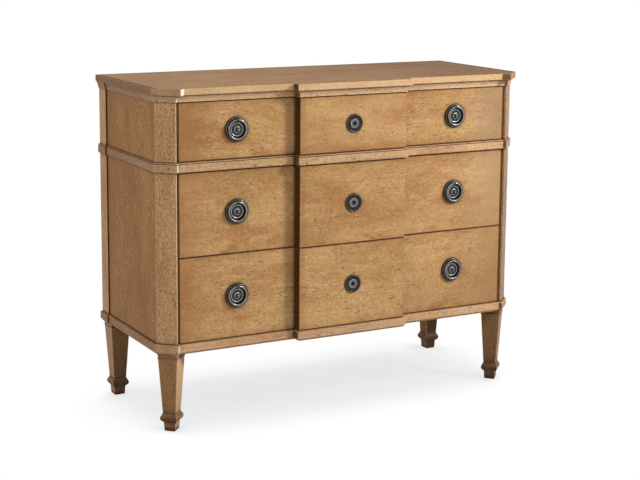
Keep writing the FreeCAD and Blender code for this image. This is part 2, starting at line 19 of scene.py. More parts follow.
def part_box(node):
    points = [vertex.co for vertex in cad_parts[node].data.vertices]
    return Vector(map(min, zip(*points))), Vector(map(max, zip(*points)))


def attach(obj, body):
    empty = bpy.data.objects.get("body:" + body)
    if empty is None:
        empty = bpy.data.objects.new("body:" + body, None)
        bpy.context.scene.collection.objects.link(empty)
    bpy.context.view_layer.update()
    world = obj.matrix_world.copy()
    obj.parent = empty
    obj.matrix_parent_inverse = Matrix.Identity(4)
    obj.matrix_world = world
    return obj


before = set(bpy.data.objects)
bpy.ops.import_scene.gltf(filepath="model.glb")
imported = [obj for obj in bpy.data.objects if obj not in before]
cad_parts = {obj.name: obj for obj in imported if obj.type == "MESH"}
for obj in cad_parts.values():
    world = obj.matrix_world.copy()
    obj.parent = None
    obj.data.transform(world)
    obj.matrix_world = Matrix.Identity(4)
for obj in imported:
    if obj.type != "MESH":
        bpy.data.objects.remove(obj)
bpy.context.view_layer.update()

# %% [markdown]
# ## Camera
# A product photographer stands to the left of the chest with a long lens, a little above the
# top, and keeps the camera nearly level so that the legs stay upright in the picture. A small
# vertical shift then brings the chest back into the frame, as a shift lens does.
# The camera could be aimed with a Track To constraint. A matrix of its three directions is used
# instead, because it also holds the slight roll of the picture.

# %% Camera
photo_width = 640
focal_px = 1487.7
camera_azimuth = math.radians(-28.72)
camera_elevation = math.radians(9.4)
camera_roll = math.radians(0.47)
camera_distance = 3.98
camera_target = Vector((0, -0.029, 0.593))
sensor_width_mm = 36.0
lens_shift = -0.1


def direction(azimuth, elevation):
    """The way to a place round the chest. Azimuth 0 is in front, and 90 degrees to the right."""
    level = math.cos(elevation)
    return Vector((math.sin(azimuth) * level, -math.cos(azimuth) * level, math.sin(elevation)))


toward_camera = direction(camera_azimuth, camera_elevation)
level_right = Vector((0, 0, 1)).cross(toward_camera).normalized()
level_up = toward_camera.cross(level_right)
camera_right = level_right * math.cos(camera_roll) + level_up * math.sin(camera_roll)
camera_up = level_up * math.cos(camera_roll) - level_right * math.sin(camera_roll)

lens = bpy.data.cameras.new("lens")
lens.sensor_width = sensor_width_mm
lens.lens = focal_px / photo_width * sensor_width_mm
lens.shift_y = lens_shift
camera = bpy.data.objects.new("camera", lens)
bpy.context.scene.collection.objects.link(camera)
turn = Matrix((camera_right, camera_up, toward_camera)).transposed().to_4x4()
camera.matrix_world = Matrix.Translation(camera_target + toward_camera * camera_distance) @ turn
bpy.context.scene.camera = camera
bpy.context.scene.view_settings.view_transform = "Standard"
print("lens:", round(lens.lens, 1), "mm, camera at", [round(place, 2) for place in camera.location])

# %% [markdown]
# ## Helpers for materials
# Every finish below is a node tree: numbers and colours flow from left to right into one
# Principled shader. Building trees by hand in the editor is quick for one material, but this
# chest needs many woods that differ only in grain direction and stain. So small helpers keep
# the later cells short. The first ones deal with numbers: fill and put set up a node, calc,
# times and minus do arithmetic, and fade turns one range of numbers into another.

# %% Helpers for numbers
def fill(tree, node, sockets):
    """Fill the sockets of a node with values or with other nodes' outputs."""
    for name, value in sockets.items():
        if isinstance(value, bpy.types.NodeSocket):
            tree.links.new(value, node.inputs[name])
        else:
            node.inputs[name].default_value = value


def put(tree, kind, sockets=None, **settings):
    """Add a node, set its options, then fill its sockets."""
    node = tree.nodes.new(kind)
    for name, value in settings.items():
        setattr(node, name, value)
    fill(tree, node, sockets or {})
    return node


def calc(tree, operation, first, second=0.0):
    """The result of one piece of arithmetic."""
    return put(tree, "ShaderNodeMath", {0: first, 1: second}, operation=operation).outputs[0]


def times(tree, first, second):
    """One number times another."""
    return calc(tree, "MULTIPLY", first, second)


def minus(tree, first, second):
    """One number less another."""
    return calc(tree, "SUBTRACT", first, second)


def fade(tree, value, start, end, low=0.0, high=1.0):
    """A number that goes smoothly from low to high while the value goes from start to end."""
    sockets = {"Value": value, "From Min": start, "From Max": end, "To Min": low, "To Max": high}
    return put(tree, "ShaderNodeMapRange", sockets, interpolation_type="SMOOTHSTEP").outputs["Result"]


print("helpers for numbers: fill, put, calc, times, minus, fade")

# %% [markdown]
# ## Helpers for colours
# lay puts one colour over another, cloud is soft noise, and the last three begin a material.
# The Mix node has sockets for numbers, vectors and colours, and several share a name. So its
# colour sockets are asked for by their place in the list. The older MixRGB node has only one
# of each, but Blender keeps it just for old files.

# %% Helpers for colours
mix_under = 6
mix_over = 7
mix_result = 2


def lay(tree, share, under, over, way="MIX"):
    """One colour laid over another, as far as the share says."""
    sockets = {"Factor": share, mix_under: under, mix_over: over}
    mix = put(tree, "ShaderNodeMix", sockets, data_type="RGBA", blend_type=way)
    return mix.outputs[mix_result]


def cloud(tree, place, per_metre, detail, roughness, distortion=0.0):
    """Soft noise between 0 and 1, with so many features per metre."""
    sockets = {"Vector": place, "Scale": per_metre, "Detail": detail, "Roughness": roughness,
               "Distortion": distortion}
    return put(tree, "ShaderNodeTexNoise", sockets).outputs["Fac"]


def empty_tree(owner):
    """The node tree of a material or a world, cleared of the nodes that Blender puts in."""
    owner.use_nodes = True
    owner.node_tree.nodes.clear()
    return owner.node_tree


def new_material(name):
    """A material with one Principled shader."""
    material = bpy.data.materials.new(name)
    tree = empty_tree(material)
    shader = put(tree, "ShaderNodeBsdfPrincipled")
    put(tree, "ShaderNodeOutputMaterial", {"Surface": shader.outputs["BSDF"]})
    return material, tree, shader


def colour(red, green, blue):
    """A colour with full cover, from its three linear parts."""
    return (red, green, blue, 1.0)


print("helpers for colours: lay, cloud, empty_tree, new_material, colour")

# %% [markdown]
# ## What the camera sees
# White paper all round would throw so much light back that the wood would look washed out.
# So the paper and the sky are white only where the camera or a reflection sees them, and the
# Light Path node tells such rays from the rest. Two copies of the floor with other settings
# for ray visibility could do the same, but one material is easier to follow.
# Close to the chest the paper also takes a little real light and shadow, which fades out with
# the distance from a rectangle between the feet.

# %% What the camera sees
half_footprint = (0.46, 0.12)
paper_reach = 0.34


def seen_directly(tree):
    """1 for rays from the camera, from a reflection or through glass, and 0 for the rest."""
    path = put(tree, "ShaderNodeLightPath")
    seen = calc(tree, "MAXIMUM", path.outputs["Is Camera Ray"], path.outputs["Is Glossy Ray"])
    return calc(tree, "MAXIMUM", seen, path.outputs["Is Transmission Ray"])


def beyond(tree, value, limit):
    """How far a value lies outside minus and plus a limit, and 0 between them."""
    return calc(tree, "MAXIMUM", minus(tree, calc(tree, "ABSOLUTE", value), limit), 0.0)


def far_from_feet(tree):
    """0 under the chest, rising to 1 some way off."""
    place = put(tree, "ShaderNodeTexCoord").outputs["Object"]
    flat = put(tree, "ShaderNodeSeparateXYZ", {"Vector": place}).outputs
    beside = beyond(tree, flat["X"], half_footprint[0])
    before = beyond(tree, flat["Y"], half_footprint[1])
    away = put(tree, "ShaderNodeCombineXYZ", {"X": beside, "Y": before}).outputs["Vector"]
    distance = put(tree, "ShaderNodeVectorMath", {0: away}, operation="LENGTH").outputs["Value"]
    return fade(tree, distance, 0.0, paper_reach)


print("real light on the paper fades out over", paper_reach, "m")

# %% [markdown]
# ## White paper
# The chest stands on a white sweep, the sheet of paper that curves up behind furniture in a
# catalogue. It could be a curved mesh, but from the back and the sides its edge would show. So
# the floor is flat and glows as white as the sky behind it, and no edge shows from any side.
# The lamps alone throw a shadow of another shape and warmth than the soft grey patch in the
# picture. So that patch is a painted shadow: an Ambient Occlusion node, which finds where the
# chest hides the sky, greys the glow. Its normal is tilted to the front and left, so the patch
# lies a little back and right.
# To the rest of the scene the floor is grey paper that bounces some light up to the wood.

# %% White paper
floor_size = 40.0
paper_near = colour(0.07, 0.07, 0.07)
paper_bounce = colour(0.34, 0.34, 0.34)
no_paper = colour(0.0, 0.0, 0.0)
pure_white = colour(1.0, 1.0, 1.0)
glow_near = 0.965
shade_colour = colour(0.79, 0.806, 0.816)
shade_reach = 0.35
shade_openness = (0.48, 0.85)
shade_normal = (-0.08, -0.17, 0.982)
shade_samples = 16


def white_paper():
    """Grey paper and a white glow with a painted shadow in it, added up."""
    material = bpy.data.materials.new("white paper")
    tree = empty_tree(material)
    seen = seen_directly(tree)
    far = far_from_feet(tree)
    shown = lay(tree, far, paper_near, no_paper)
    paper = put(tree, "ShaderNodeBsdfDiffuse", {"Color": lay(tree, seen, paper_bounce, shown)})
    strength = times(tree, fade(tree, far, 0.0, 1.0, glow_near, 1.0), seen)
    # The grey patch under the chest is a painted shadow: the glow is greyed where the chest hides the sky.
    sockets = {"Distance": shade_reach, "Normal": shade_normal}
    sky_share = put(tree, "ShaderNodeAmbientOcclusion", sockets, samples=shade_samples).outputs["AO"]
    glow_with_painted_shadow = lay(tree, fade(tree, sky_share, *shade_openness), shade_colour, pure_white)
    glow = put(tree, "ShaderNodeEmission", {"Color": glow_with_painted_shadow, "Strength": strength})
    both = put(tree, "ShaderNodeAddShader", {0: paper.outputs["BSDF"], 1: glow.outputs["Emission"]})
    put(tree, "ShaderNodeOutputMaterial", {"Surface": both.outputs["Shader"]})
    return material


def make_floor():
    """One square of paper under the chest."""
    half = floor_size / 2
    mesh = bpy.data.meshes.new("floor")
    mesh.from_pydata([(-half, -half, 0), (half, -half, 0), (half, half, 0), (-half, half, 0)], [],
                     [(0, 1, 2, 3)])
    mesh.materials.append(white_paper())
    floor = bpy.data.objects.new("floor", mesh)
    bpy.context.scene.collection.objects.link(floor)


make_floor()
print("floor:", floor_size, "m square, its grey patch reaches", shade_reach, "m from what stands on it")

# %% [markdown]
# ## White sky
# The background of the picture is pure white. A white world would do, but at full strength it
# would wash out the wood. So it is white only where the camera or a reflection sees it, and to
# the rest of the scene it is a weaker light without a direction.

# %% White sky
sky_strength = 0.62


def make_sky():
    """A world that looks white and lights the chest only weakly."""
    world = bpy.data.worlds.new("white sky")
    tree = empty_tree(world)
    strength = fade(tree, seen_directly(tree), 0.0, 1.0, sky_strength, 1.0)
    sky = put(tree, "ShaderNodeBackground", {"Color": pure_white, "Strength": strength})
    put(tree, "ShaderNodeOutputWorld", {"Surface": sky.outputs["Background"]})
    bpy.context.scene.world = world


make_sky()
print("strength of the sky for the wood:", sky_strength)

# %% [markdown]
# ## Lamps
# The picture tells where its main light stands. The centre step of the drawers throws a shade
# about 30 mm wide onto the drawer on its left, and the step is 23 mm deep, so the light comes
# from the right, a little over 50 degrees from straight ahead. The narrow faces that look right
# are nearly white, and the left side is lit only softly. A large weak lamp on the left keeps
# that side brown instead of black. Sun lamps could be used, but their light doesn't weaken
# with distance as a studio lamp's does. Area lamps do, and their size sets how soft a shade is.

# %% Lamps
lamp_aim = Vector((0, 0, 0.45))


def add_lamp(name, azimuth, elevation, distance, size, power, warmth):
    """An area lamp aimed at the middle of the chest, with its angles in degrees."""
    lamp = bpy.data.lights.new(name, "AREA")
    lamp.shape = "DISK"
    lamp.size = size
    lamp.energy = power
    lamp.color = warmth
    holder = bpy.data.objects.new(name, lamp)
    bpy.context.scene.collection.objects.link(holder)
    away = direction(math.radians(azimuth), math.radians(elevation))
    holder.location = lamp_aim + away * distance
    holder.rotation_euler = away.to_track_quat("Z", "Y").to_euler()


add_lamp("key lamp", azimuth=50, elevation=31, distance=2.9, size=0.6, power=72, warmth=(1.0, 0.98, 0.94))
add_lamp("fill lamp", azimuth=-62, elevation=24, distance=2.8, size=1.6, power=13, warmth=(1.0, 0.99, 0.97))
print("lamps and their power in watts:", {lamp.name: lamp.energy for lamp in bpy.data.lights})

# %% [markdown]
# ## Wood
# All the outer wood has the same history: a fruitwood stain, a brown glaze that the finisher
# wiped off, fine dark specks flicked on with a brush, and edges rubbed through to the pale wood.
# On top of that, the corners get glaze and a painted shade, and the outer edges get a painted
# highlight along with their wear. An image of such wood would be simple to lay on, but it
# repeats, needs UV maps and can't follow the edges. So the wood is built up in layers.
# Most layers are noise. The stretch draws it out along the grain, and it shows only where it
# rises above one level, and in full above another. Each pattern and each kind of board moves
# the noise by a seed of its own, so that no two run on into each other.

# %% Patterns along the grain
seed_shift = (1.37, 2.11, 0.83)


class Pattern(NamedTuple):
    """Noise drawn out along the grain. It starts to show at one level, and is full at another."""
    stretch: float
    per_metre: float
    detail: float
    roughness: float
    starts: float
    full: float
    seed_step: float = 0.0
    distortion: float = 0.0


# The first four numbers are stretch, features per metre, detail and roughness.
drifts = Pattern(2.6, 10.0, 4.0, 0.62, starts=0.36, full=0.64, distortion=0.5)
blotches = Pattern(2.2, 15.0, 3.0, 0.6, starts=0.48, full=0.68, seed_step=3)
bleaching = Pattern(2.4, 12.0, 3.0, 0.6, starts=0.48, full=0.70, seed_step=13)
fine_lines = Pattern(18.0, 330.0, 3.0, 0.65, starts=0.4, full=0.72, seed_step=0.5, distortion=0.2)
streaks = Pattern(12.0, 70.0, 3.0, 0.6, starts=0.45, full=0.72, seed_step=5)
dark_dashes = Pattern(3.2, 210.0, 2.0, 0.5, starts=0.60, full=0.69, seed_step=7)
crowding = Pattern(1.8, 24.0, 2.0, 0.6, starts=0.42, full=0.62, seed_step=15)
pale_dashes = Pattern(3.0, 190.0, 2.0, 0.5, starts=0.58, full=0.72, seed_step=9)
mottling = Pattern(1.4, 230.0, 3.0, 0.75, starts=0.3, full=0.7, seed_step=11)
even_step = 0.25
broken_wear_and_highlight = Pattern(1.0, 90.0, 3.0, 0.65, starts=0.34, full=0.62, seed_step=even_step)


def grain_place(tree, axis, stretch, seed):
    """Coordinates on the board, drawn out along the grain and moved so that boards differ."""
    place = put(tree, "ShaderNodeTexCoord").outputs["Object"]
    shift = tuple(seed * step for step in seed_shift)
    scale = tuple(1.0 / stretch if name == axis else 1.0 for name in "xyz")
    sockets = {"Vector": place, "Location": shift, "Scale": scale}
    return put(tree, "ShaderNodeMapping", sockets).outputs["Vector"]


def grain_noise(tree, axis, seed, pattern):
    """The plain noise of a pattern on one board."""
    place = grain_place(tree, axis, pattern.stretch, seed + pattern.seed_step)
    return cloud(tree, place, pattern.per_metre, pattern.detail, pattern.roughness, pattern.distortion)


def showing(tree, noise, pattern, least=0.0, most=1.0):
    """How strongly the noise of a pattern shows."""
    return fade(tree, noise, pattern.starts, pattern.full, least, most)


print("to a metre across the grain:", dark_dashes.per_metre, "dark dashes,", fine_lines.per_metre, "lines")

# %% [markdown]
# ## Places and directions
# A finisher treats the front edge of a top or the foot of a leg in its own way. To follow, a
# material must know where on the board it is and which way the face looks. Separate materials
# for chosen faces could do it, but they would end in hard lines. The Texture Coordinate node
# gives the place and the direction as numbers, and a fade makes a soft mask of them.

# %% Places and directions
leftward = (-1, 0, 0)
rightward = (1, 0, 0)
frontward = (0, -1, 0)
upward = (0, 0, 1)
square_on = (0.8, 0.95)


def facing(tree, way, start, end):
    """0 to 1, while the cosine between a face's direction and the way goes from start to end."""
    normal = put(tree, "ShaderNodeTexCoord").outputs["Normal"]
    match = put(tree, "ShaderNodeVectorMath", {0: normal, 1: way}, operation="DOT_PRODUCT")
    return fade(tree, match.outputs["Value"], start, end)


def axes(tree):
    """The three coordinates on the board."""
    place = put(tree, "ShaderNodeTexCoord").outputs["Object"]
    parts = put(tree, "ShaderNodeSeparateXYZ", {"Vector": place}).outputs
    return parts["X"], parts["Y"], parts["Z"]


def band(tree, value, low, high):
    """How far a value is from the nearer of two limits, inside them."""
    return calc(tree, "MINIMUM", minus(tree, value, low), minus(tree, high, value))


full_turn_off = math.degrees(math.acos(square_on[1]))
print("a face is square on when it is turned off by less than", round(full_turn_off), "degrees")

# %% [markdown]
# ## Corner shade, edge wear and highlight, and specks
# Some layers follow the shape of a board. Glaze and a painted shade darken the corners, where the
# Ambient Occlusion node finds other faces close by. Wear and a painted highlight lighten the outer
# edges, where the normal that the Bevel node rounds differs from the real one. Both could be
# painted by hand on each board, but these nodes find the corners and edges by themselves, also
# after a board changes its size.
# Specks are round spots at the points of a Voronoi texture, and only a few of its cells keep
# theirs, as drops from a brush fall unevenly.

# %% Corner shade, edge wear and highlight, and specks
shader_samples = 8
flat_match = 0.99
edge_match = 0.85
wear_and_highlight_openness = (0.7, 0.95)


def openness_at(tree, reach):
    """1 on open faces and outer edges, less where other faces stand close by."""
    sockets = {"Distance": reach}
    return put(tree, "ShaderNodeAmbientOcclusion", sockets, samples=shader_samples).outputs["AO"]


def edge_wear_and_highlight(tree, openness, radius):
    """1 on outer edges, and 0 on flat faces and in corners."""
    rounded = put(tree, "ShaderNodeBevel", {"Radius": radius}, samples=shader_samples).outputs["Normal"]
    straight = put(tree, "ShaderNodeNewGeometry").outputs["Normal"]
    match = put(tree, "ShaderNodeVectorMath", {0: rounded, 1: straight}, operation="DOT_PRODUCT")
    bend = fade(tree, match.outputs["Value"], flat_match, edge_match)
    return times(tree, bend, fade(tree, openness, *wear_and_highlight_openness))


def speck_mask(tree, place, per_metre, radius, kept_share):
    """Small round spots in a few of the cells of a Voronoi texture."""
    cells = put(tree, "ShaderNodeTexVoronoi", {"Vector": place, "Scale": per_metre})
    radius_in_cells = radius * per_metre
    spot = fade(tree, cells.outputs["Distance"], radius_in_cells * 0.5, radius_in_cells, 1.0, 0.0)
    chance = put(tree, "ShaderNodeSeparateColor", {"Color": cells.outputs["Color"]}).outputs["Red"]
    return times(tree, spot, calc(tree, "LESS_THAN", chance, kept_share))


full_bend = math.degrees(math.acos(edge_match))
print("wear is full where an edge bends the rounded normal by", round(full_bend), "degrees")

# %% [markdown]
# ## A board that takes layers
# Finishing is laying one thing over another. So a board is kept as a class that remembers its
# colour so far: over covers it with a colour, tint darkens it so that its grain still shows,
# and shown says how strongly a pattern shows on it. One long function could build the whole
# tree, but later cells lay layers of their own over some boards, and this way each is one line.

# %% A board that takes layers
class Board:
    """The material of a board. Its grain lines and pores are kept for the bump."""

    def __init__(self, name, base, axis, seed):
        self.material, self.tree, self.shader = new_material(name)
        self.base = base
        self.axis = axis
        self.seed = seed
        self.lines = None
        self.pores = None

    def over(self, share, tone):
        """Lay a colour over the wood."""
        self.base = lay(self.tree, share, self.base, tone)

    def tint(self, share, tone):
        """Darken the wood with a colour, so that its grain still shows."""
        self.base = lay(self.tree, share, self.base, tone, "MULTIPLY")

    def shown(self, pattern, least=0.0, most=1.0):
        """How strongly a pattern shows on this board."""
        noise = grain_noise(self.tree, self.axis, self.seed, pattern)
        return showing(self.tree, noise, pattern, least, most)


glaze_and_shade_brown = colour(0.080, 0.031, 0.010)
wear_and_highlight_tan = colour(0.66, 0.47, 0.27)
painted_highlight_cream = colour(0.95, 0.80, 0.62)
speck_brown = colour(0.12, 0.055, 0.020)
print("colours of the layers: glaze_and_shade_brown, wear_and_highlight_tan, painted_highlight_cream, speck_brown")

# %% [markdown]
# ## Stain
# Stain sinks in unevenly. The picture shows broad drifts of a lighter and a deeper tone, reddish
# blotches, and patches bleached to a greenish yellow, with fine grain lines and streaks in the
# deep tone. A Color Ramp over one noise would be simpler, but then red would always lie between
# pale and deep. Each has a noise of its own here, so that they overlap as real stain does.

# %% Stain
olive_parts = (0.96, 1.04, 0.84)
blotch_share = 0.75
bleached_share = 0.5
line_share = 0.22
streak_share = 0.35


def olive(tone):
    """The greenish yellow that a bleached patch of a wood tone has."""
    return colour(*(part * share for part, share in zip(tone, olive_parts)))


def stain(wood, deep, red):
    """Stain over the pale tone in broad patches, with grain lines and streaks in the deep one."""
    pale = wood.base
    wood.over(wood.shown(drifts), deep)
    wood.over(wood.shown(blotches, most=blotch_share), red)
    wood.over(wood.shown(bleaching, most=bleached_share), olive(pale))
    wood.lines = grain_noise(wood.tree, wood.axis, wood.seed, fine_lines)
    wood.tint(showing(wood.tree, wood.lines, fine_lines, most=line_share), deep)
    wood.over(wood.shown(streaks, most=streak_share), deep)


print("stain: reddish blotches cover up to", blotch_share, "and bleached patches up to", bleached_share)

# %% [markdown]
# ## Pores and specks
# Pores hold the glaze and show as short dark dashes, which stand in crowds, and others were
# rubbed down to pale wood. Small patches between them are lighter and darker. Over all of this
# lie the specks. Real dents could give the pores, but they are far too small to show in the
# outline. So they are colour here, and the bump layer later gives them a little depth.

# %% Pores and specks
sparse_share = 0.3
pale_dash_part = 0.55
small_specks = {"per_metre": 85.0, "radius": 0.0014, "kept_share": 0.34}
large_specks = {"per_metre": 34.0, "radius": 0.0021, "kept_share": 0.24}
mm_per_m = 1000


def mark_pores(wood, dashes, mottle):
    """Short dark and pale dashes of pores, in crowds, and small lighter and darker patches."""
    tree = wood.tree
    crowded = wood.shown(crowding, least=sparse_share)
    wood.pores = times(tree, wood.shown(dark_dashes), crowded)
    wood.over(times(tree, wood.pores, dashes), speck_brown)
    bare = times(tree, wood.shown(pale_dashes, most=dashes * pale_dash_part), crowded)
    wood.over(bare, wear_and_highlight_tan)
    lightness = wood.shown(mottling, 1.0 - mottle / 2, 1.0 + mottle / 2)
    sockets = {0: wood.base, "Scale": lightness}
    wood.base = put(tree, "ShaderNodeVectorMath", sockets, operation="SCALE").outputs["Vector"]


def flick_specks(wood, share):
    """Two sizes of dark specks."""
    place = grain_place(wood.tree, wood.axis, stretch=1.0, seed=wood.seed + even_step)
    small = speck_mask(wood.tree, place, **small_specks)
    large = speck_mask(wood.tree, place, **large_specks)
    wood.over(times(wood.tree, calc(wood.tree, "MAXIMUM", small, large), share), speck_brown)


speck_sizes = [specks["radius"] * 2 * mm_per_m for specks in (small_specks, large_specks)]
print("specks are", speck_sizes, "mm wide")

# %% [markdown]
# ## Stained wood
# stained_wood begins a board with its first layers, and close ends it. Between the two, a later
# cell can lay what is special to its board. close lightens the edges with wear and a painted
# highlight, darkens the corners with glaze and a painted shade, and joins everything to the
# shader. The grain lines and pores also go into a Bump node: real grooves would need millions
# of faces, and bump only turns the light, which is enough here.
# The Bevel node eases the edges a little, since no real board has a perfectly sharp one.

# %% Stained wood
wear_and_highlight_width = 0.0035
corner_shade_openness = (0.66, 0.94)
line_levels = (0.3, 0.8)
smoother = 0.05
rougher = 0.08
line_height = 0.5
relief = {"Strength": 0.14, "Distance": 0.0004}
eased_radius = 0.0009
eased_samples = 4


def stained_wood(name, tones, axis, seed, dashes=0.68, mottle=0.42, specks=0.8):
    """A board with stain, grain and specks, ready for more layers."""
    pale, deep, red = tones
    wood = Board(name, pale, axis, seed)
    stain(wood, deep, red)
    mark_pores(wood, dashes, mottle)
    flick_specks(wood, specks)
    return wood


def close(wood, wear_and_highlight=0.8, glaze_and_shade=0.9, reach=0.012, specular=0.08, rough=0.42):
    """Lighten the edges with wear and a painted highlight, darken the corners with glaze and a painted
    shade, and connect the shader.
    """
    tree = wood.tree
    openness = openness_at(tree, reach)
    # Wear and a painted highlight on the outer edges that the Bevel node finds.
    worn_and_lit = times(tree, edge_wear_and_highlight(tree, openness, wear_and_highlight_width), wear_and_highlight)
    wood.over(times(tree, worn_and_lit, wood.shown(broken_wear_and_highlight)), wear_and_highlight_tan)
    # Glaze and a painted shade in the corners that Ambient Occlusion finds.
    wood.over(fade(tree, openness, *corner_shade_openness, glaze_and_shade, 0.0), glaze_and_shade_brown)
    height = minus(tree, times(tree, wood.lines, line_height), wood.pores)
    eased = put(tree, "ShaderNodeBevel", {"Radius": eased_radius}, samples=eased_samples)
    sockets = {"Height": height, "Normal": eased.outputs["Normal"], **relief}
    bump = put(tree, "ShaderNodeBump", sockets)
    fill(tree, wood.shader, {
        "Base Color": wood.base,
        "Specular IOR Level": specular,
        "Roughness": fade(tree, wood.lines, *line_levels, rough - smoother, rough + rougher),
        "Normal": bump.outputs["Normal"],
    })
    return wood.material


def dress(node, material):
    """Give one board or fitting its finish."""
    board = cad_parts[node]
    board.data.materials.clear()
    board.data.materials.append(material)


print("wear reaches", wear_and_highlight_width * mm_per_m, "mm from an edge")

# %% [markdown]
# ## Drawer fronts: tones
# The drawer fronts are veneered with the grain running left to right, in the warmest honey
# colour of the chest. In the picture the top one is deeper at its left end, all three turn
# greyer to the right, and the lowest is browner at its right foot. The middle third stands
# forward as a step. It is darker beside its left corner, and at its right corner a thin dark
# line is glaze and a painted shade of the corner there. A gradient texture could do this, but it
# knows no metres.

# %% Drawer fronts: tones
drawers = ("top", "middle", "bottom")
hands = ("left", "right")
honey = (colour(0.57, 0.342, 0.155), colour(0.42, 0.228, 0.090), colour(0.40, 0.180, 0.070))
left_deepening = {"top": 0.58, "middle": 0.08, "bottom": 0.08}
left_width = 0.13
left_tone = colour(0.25, 0.125, 0.046)
right_tone = {
    "top": colour(0.28, 0.235, 0.165),
    "middle": colour(0.46, 0.335, 0.205),
    "bottom": colour(0.33, 0.210, 0.120),
}
right_share = 0.55
right_width = 0.17
step_x = 0.156
low_right_share = {"top": 0.0, "middle": 0.0, "bottom": 0.3}
low_right_heights = (0.03, 0.16)
low_right_from = (0.08, step_x + 0.02)
step_shade_width = 0.03
step_shade_share = 0.4
step_line_width = 0.003
step_line_share = 0.35


def tone_ends(wood, drawer, low, high):
    """Deepen the left end, grey the right one and brown the foot of the right part."""
    tree = wood.tree
    x, _, z = axes(tree)
    from_left = minus(tree, x, low[0])
    wood.over(fade(tree, from_left, 0.0, left_width, left_deepening[drawer], 0.0), left_tone)
    from_right = minus(tree, high[0], x)
    wood.over(fade(tree, from_right, 0.0, right_width, right_share, 0.0), right_tone[drawer])
    low_part = fade(tree, minus(tree, z, low[2]), *low_right_heights, low_right_share[drawer], 0.0)
    wood.over(times(tree, low_part, fade(tree, x, *low_right_from)), left_tone)


def tone_step(wood):
    """Darker strips beside the two corners of the middle step, on the step itself; the line at the right
    corner is glaze and a painted shade.
    """
    tree = wood.tree
    x, _, _ = axes(tree)
    on_middle = calc(tree, "GREATER_THAN", band(tree, x, -step_x, step_x), 0.0)
    from_step_left = calc(tree, "ADD", x, step_x)
    near_step = fade(tree, from_step_left, 0.0, step_shade_width, step_shade_share, 0.0)
    wood.over(times(tree, near_step, on_middle), left_tone)
    # A thin dark line of glaze and painted shade at the right corner of the step.
    from_step_right = minus(tree, step_x, x)
    step_line = fade(tree, from_step_right, 0.0, step_line_width, step_line_share, 0.0)
    wood.over(times(tree, step_line, on_middle), left_tone)


print("the middle step is", round(step_x * 2, 3), "m wide")

# %% [markdown]
# ## Drawer fronts: border
# Each front is darker along its border, most at the ends, and its thin edges are dark all over.
# The narrow line along the border and the thin edges are glaze and a painted shade of the gap
# round the drawer. Ambient Occlusion can't find this border, because nothing stands over it when
# the drawer is out. So it is drawn from the distance to the nearest end or edge: a wide soft
# shade, smears, and a narrow line.

# %% Drawer fronts: border
end_shade = {"width": 0.09, "share": 0.4}
edge_shade = {"width": 0.026, "share": 0.24}
smear_width = 0.04
smear_share = 0.55
smears = Pattern(2.0, 42.0, 4.0, 0.7, starts=0.5, full=0.72, seed_step=17)
end_glaze_and_shade = {"width": 0.0062, "share": 0.92, "full_part": 0.6}
edge_glaze_and_shade = {"width": 0.0026, "share": 0.6, "full_part": 0.6}
off_the_front = (0.7, 0.4)
first_veneer_seed = 3
veneer_seed_step = 2.3


def border(tree, distance, width, share, full_part=0.0):
    """The share near a border, going to nothing at some width from it."""
    return fade(tree, distance, width * full_part, width, share, 0.0)


def glaze_and_shade_border(wood, low, high):
    """Shade, smears and a line of glaze and painted shade along the ends and edges of a drawer front, and
    dark thin edges.
    """
    tree = wood.tree
    x, _, z = axes(tree)
    ends = band(tree, x, low[0], high[0])
    edges = band(tree, z, low[2], high[2])
    wood.over(border(tree, ends, **end_shade), honey[2])
    wood.over(border(tree, edges, **edge_shade), honey[2])
    near = border(tree, calc(tree, "MINIMUM", ends, edges), smear_width, smear_share)
    wood.over(times(tree, wood.shown(smears), near), left_tone)
    # Glaze and a painted shade of the gap: a narrow dark line along the ends and edges, and the thin edges
    # dark all over.
    wood.over(border(tree, ends, **end_glaze_and_shade), glaze_and_shade_brown)
    wood.over(border(tree, edges, **edge_glaze_and_shade), glaze_and_shade_brown)
    wood.over(facing(tree, frontward, *off_the_front), glaze_and_shade_brown)


def drawer_veneer(drawer, seed):
    """The veneer of one drawer front."""
    wood = stained_wood(f"{drawer} drawer veneer", honey, "x", seed)
    low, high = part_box(f"{drawer}_drawer_front")
    tone_ends(wood, drawer, low, high)
    tone_step(wood)
    glaze_and_shade_border(wood, low, high)
    return close(wood, wear_and_highlight=0.35)


for number, drawer in enumerate(drawers):
    veneer = drawer_veneer(drawer, first_veneer_seed + number * veneer_seed_step)
    dress(f"{drawer}_drawer_front", veneer)
    print(veneer.name, "has", len(veneer.node_tree.nodes), "nodes")

# %% [markdown]
# ## Front corners
# Mouldings, stiles and top all turn twice at each front corner, along the cant. There the
# picture shows narrow returns nearly cream at the left corner, where they face the lamp, and
# dark brown at the right one. So the left returns get a painted highlight, and the right ones,
# the cants and the left side of the middle step get a painted shade. Each return could be a
# material slot of its own, but a mask on the direction of its faces finds all of them at once,
# on every piece.

# %% Front corners
slant = math.sqrt(0.5)
corner_match = (0.9, 0.99)
step_reach = 0.3
step_return_shade = 0.8
shade_brown = colour(0.62, 0.50, 0.44)


def corner_face(tree, hand, way):
    """1 on the faces of one front corner (-1 left, 1 right) that look right (1) or left (-1)."""
    x, _, _ = axes(tree)
    there = calc(tree, "GREATER_THAN", times(tree, x, hand), 0.0)
    return times(tree, there, facing(tree, (way * slant, -slant, 0), *corner_match))


def step_return(tree):
    """1 on the narrow faces at the left side of the middle step."""
    x, _, _ = axes(tree)
    near_middle = calc(tree, "LESS_THAN", calc(tree, "ABSOLUTE", x), step_reach)
    return times(tree, near_middle, facing(tree, leftward, *square_on))


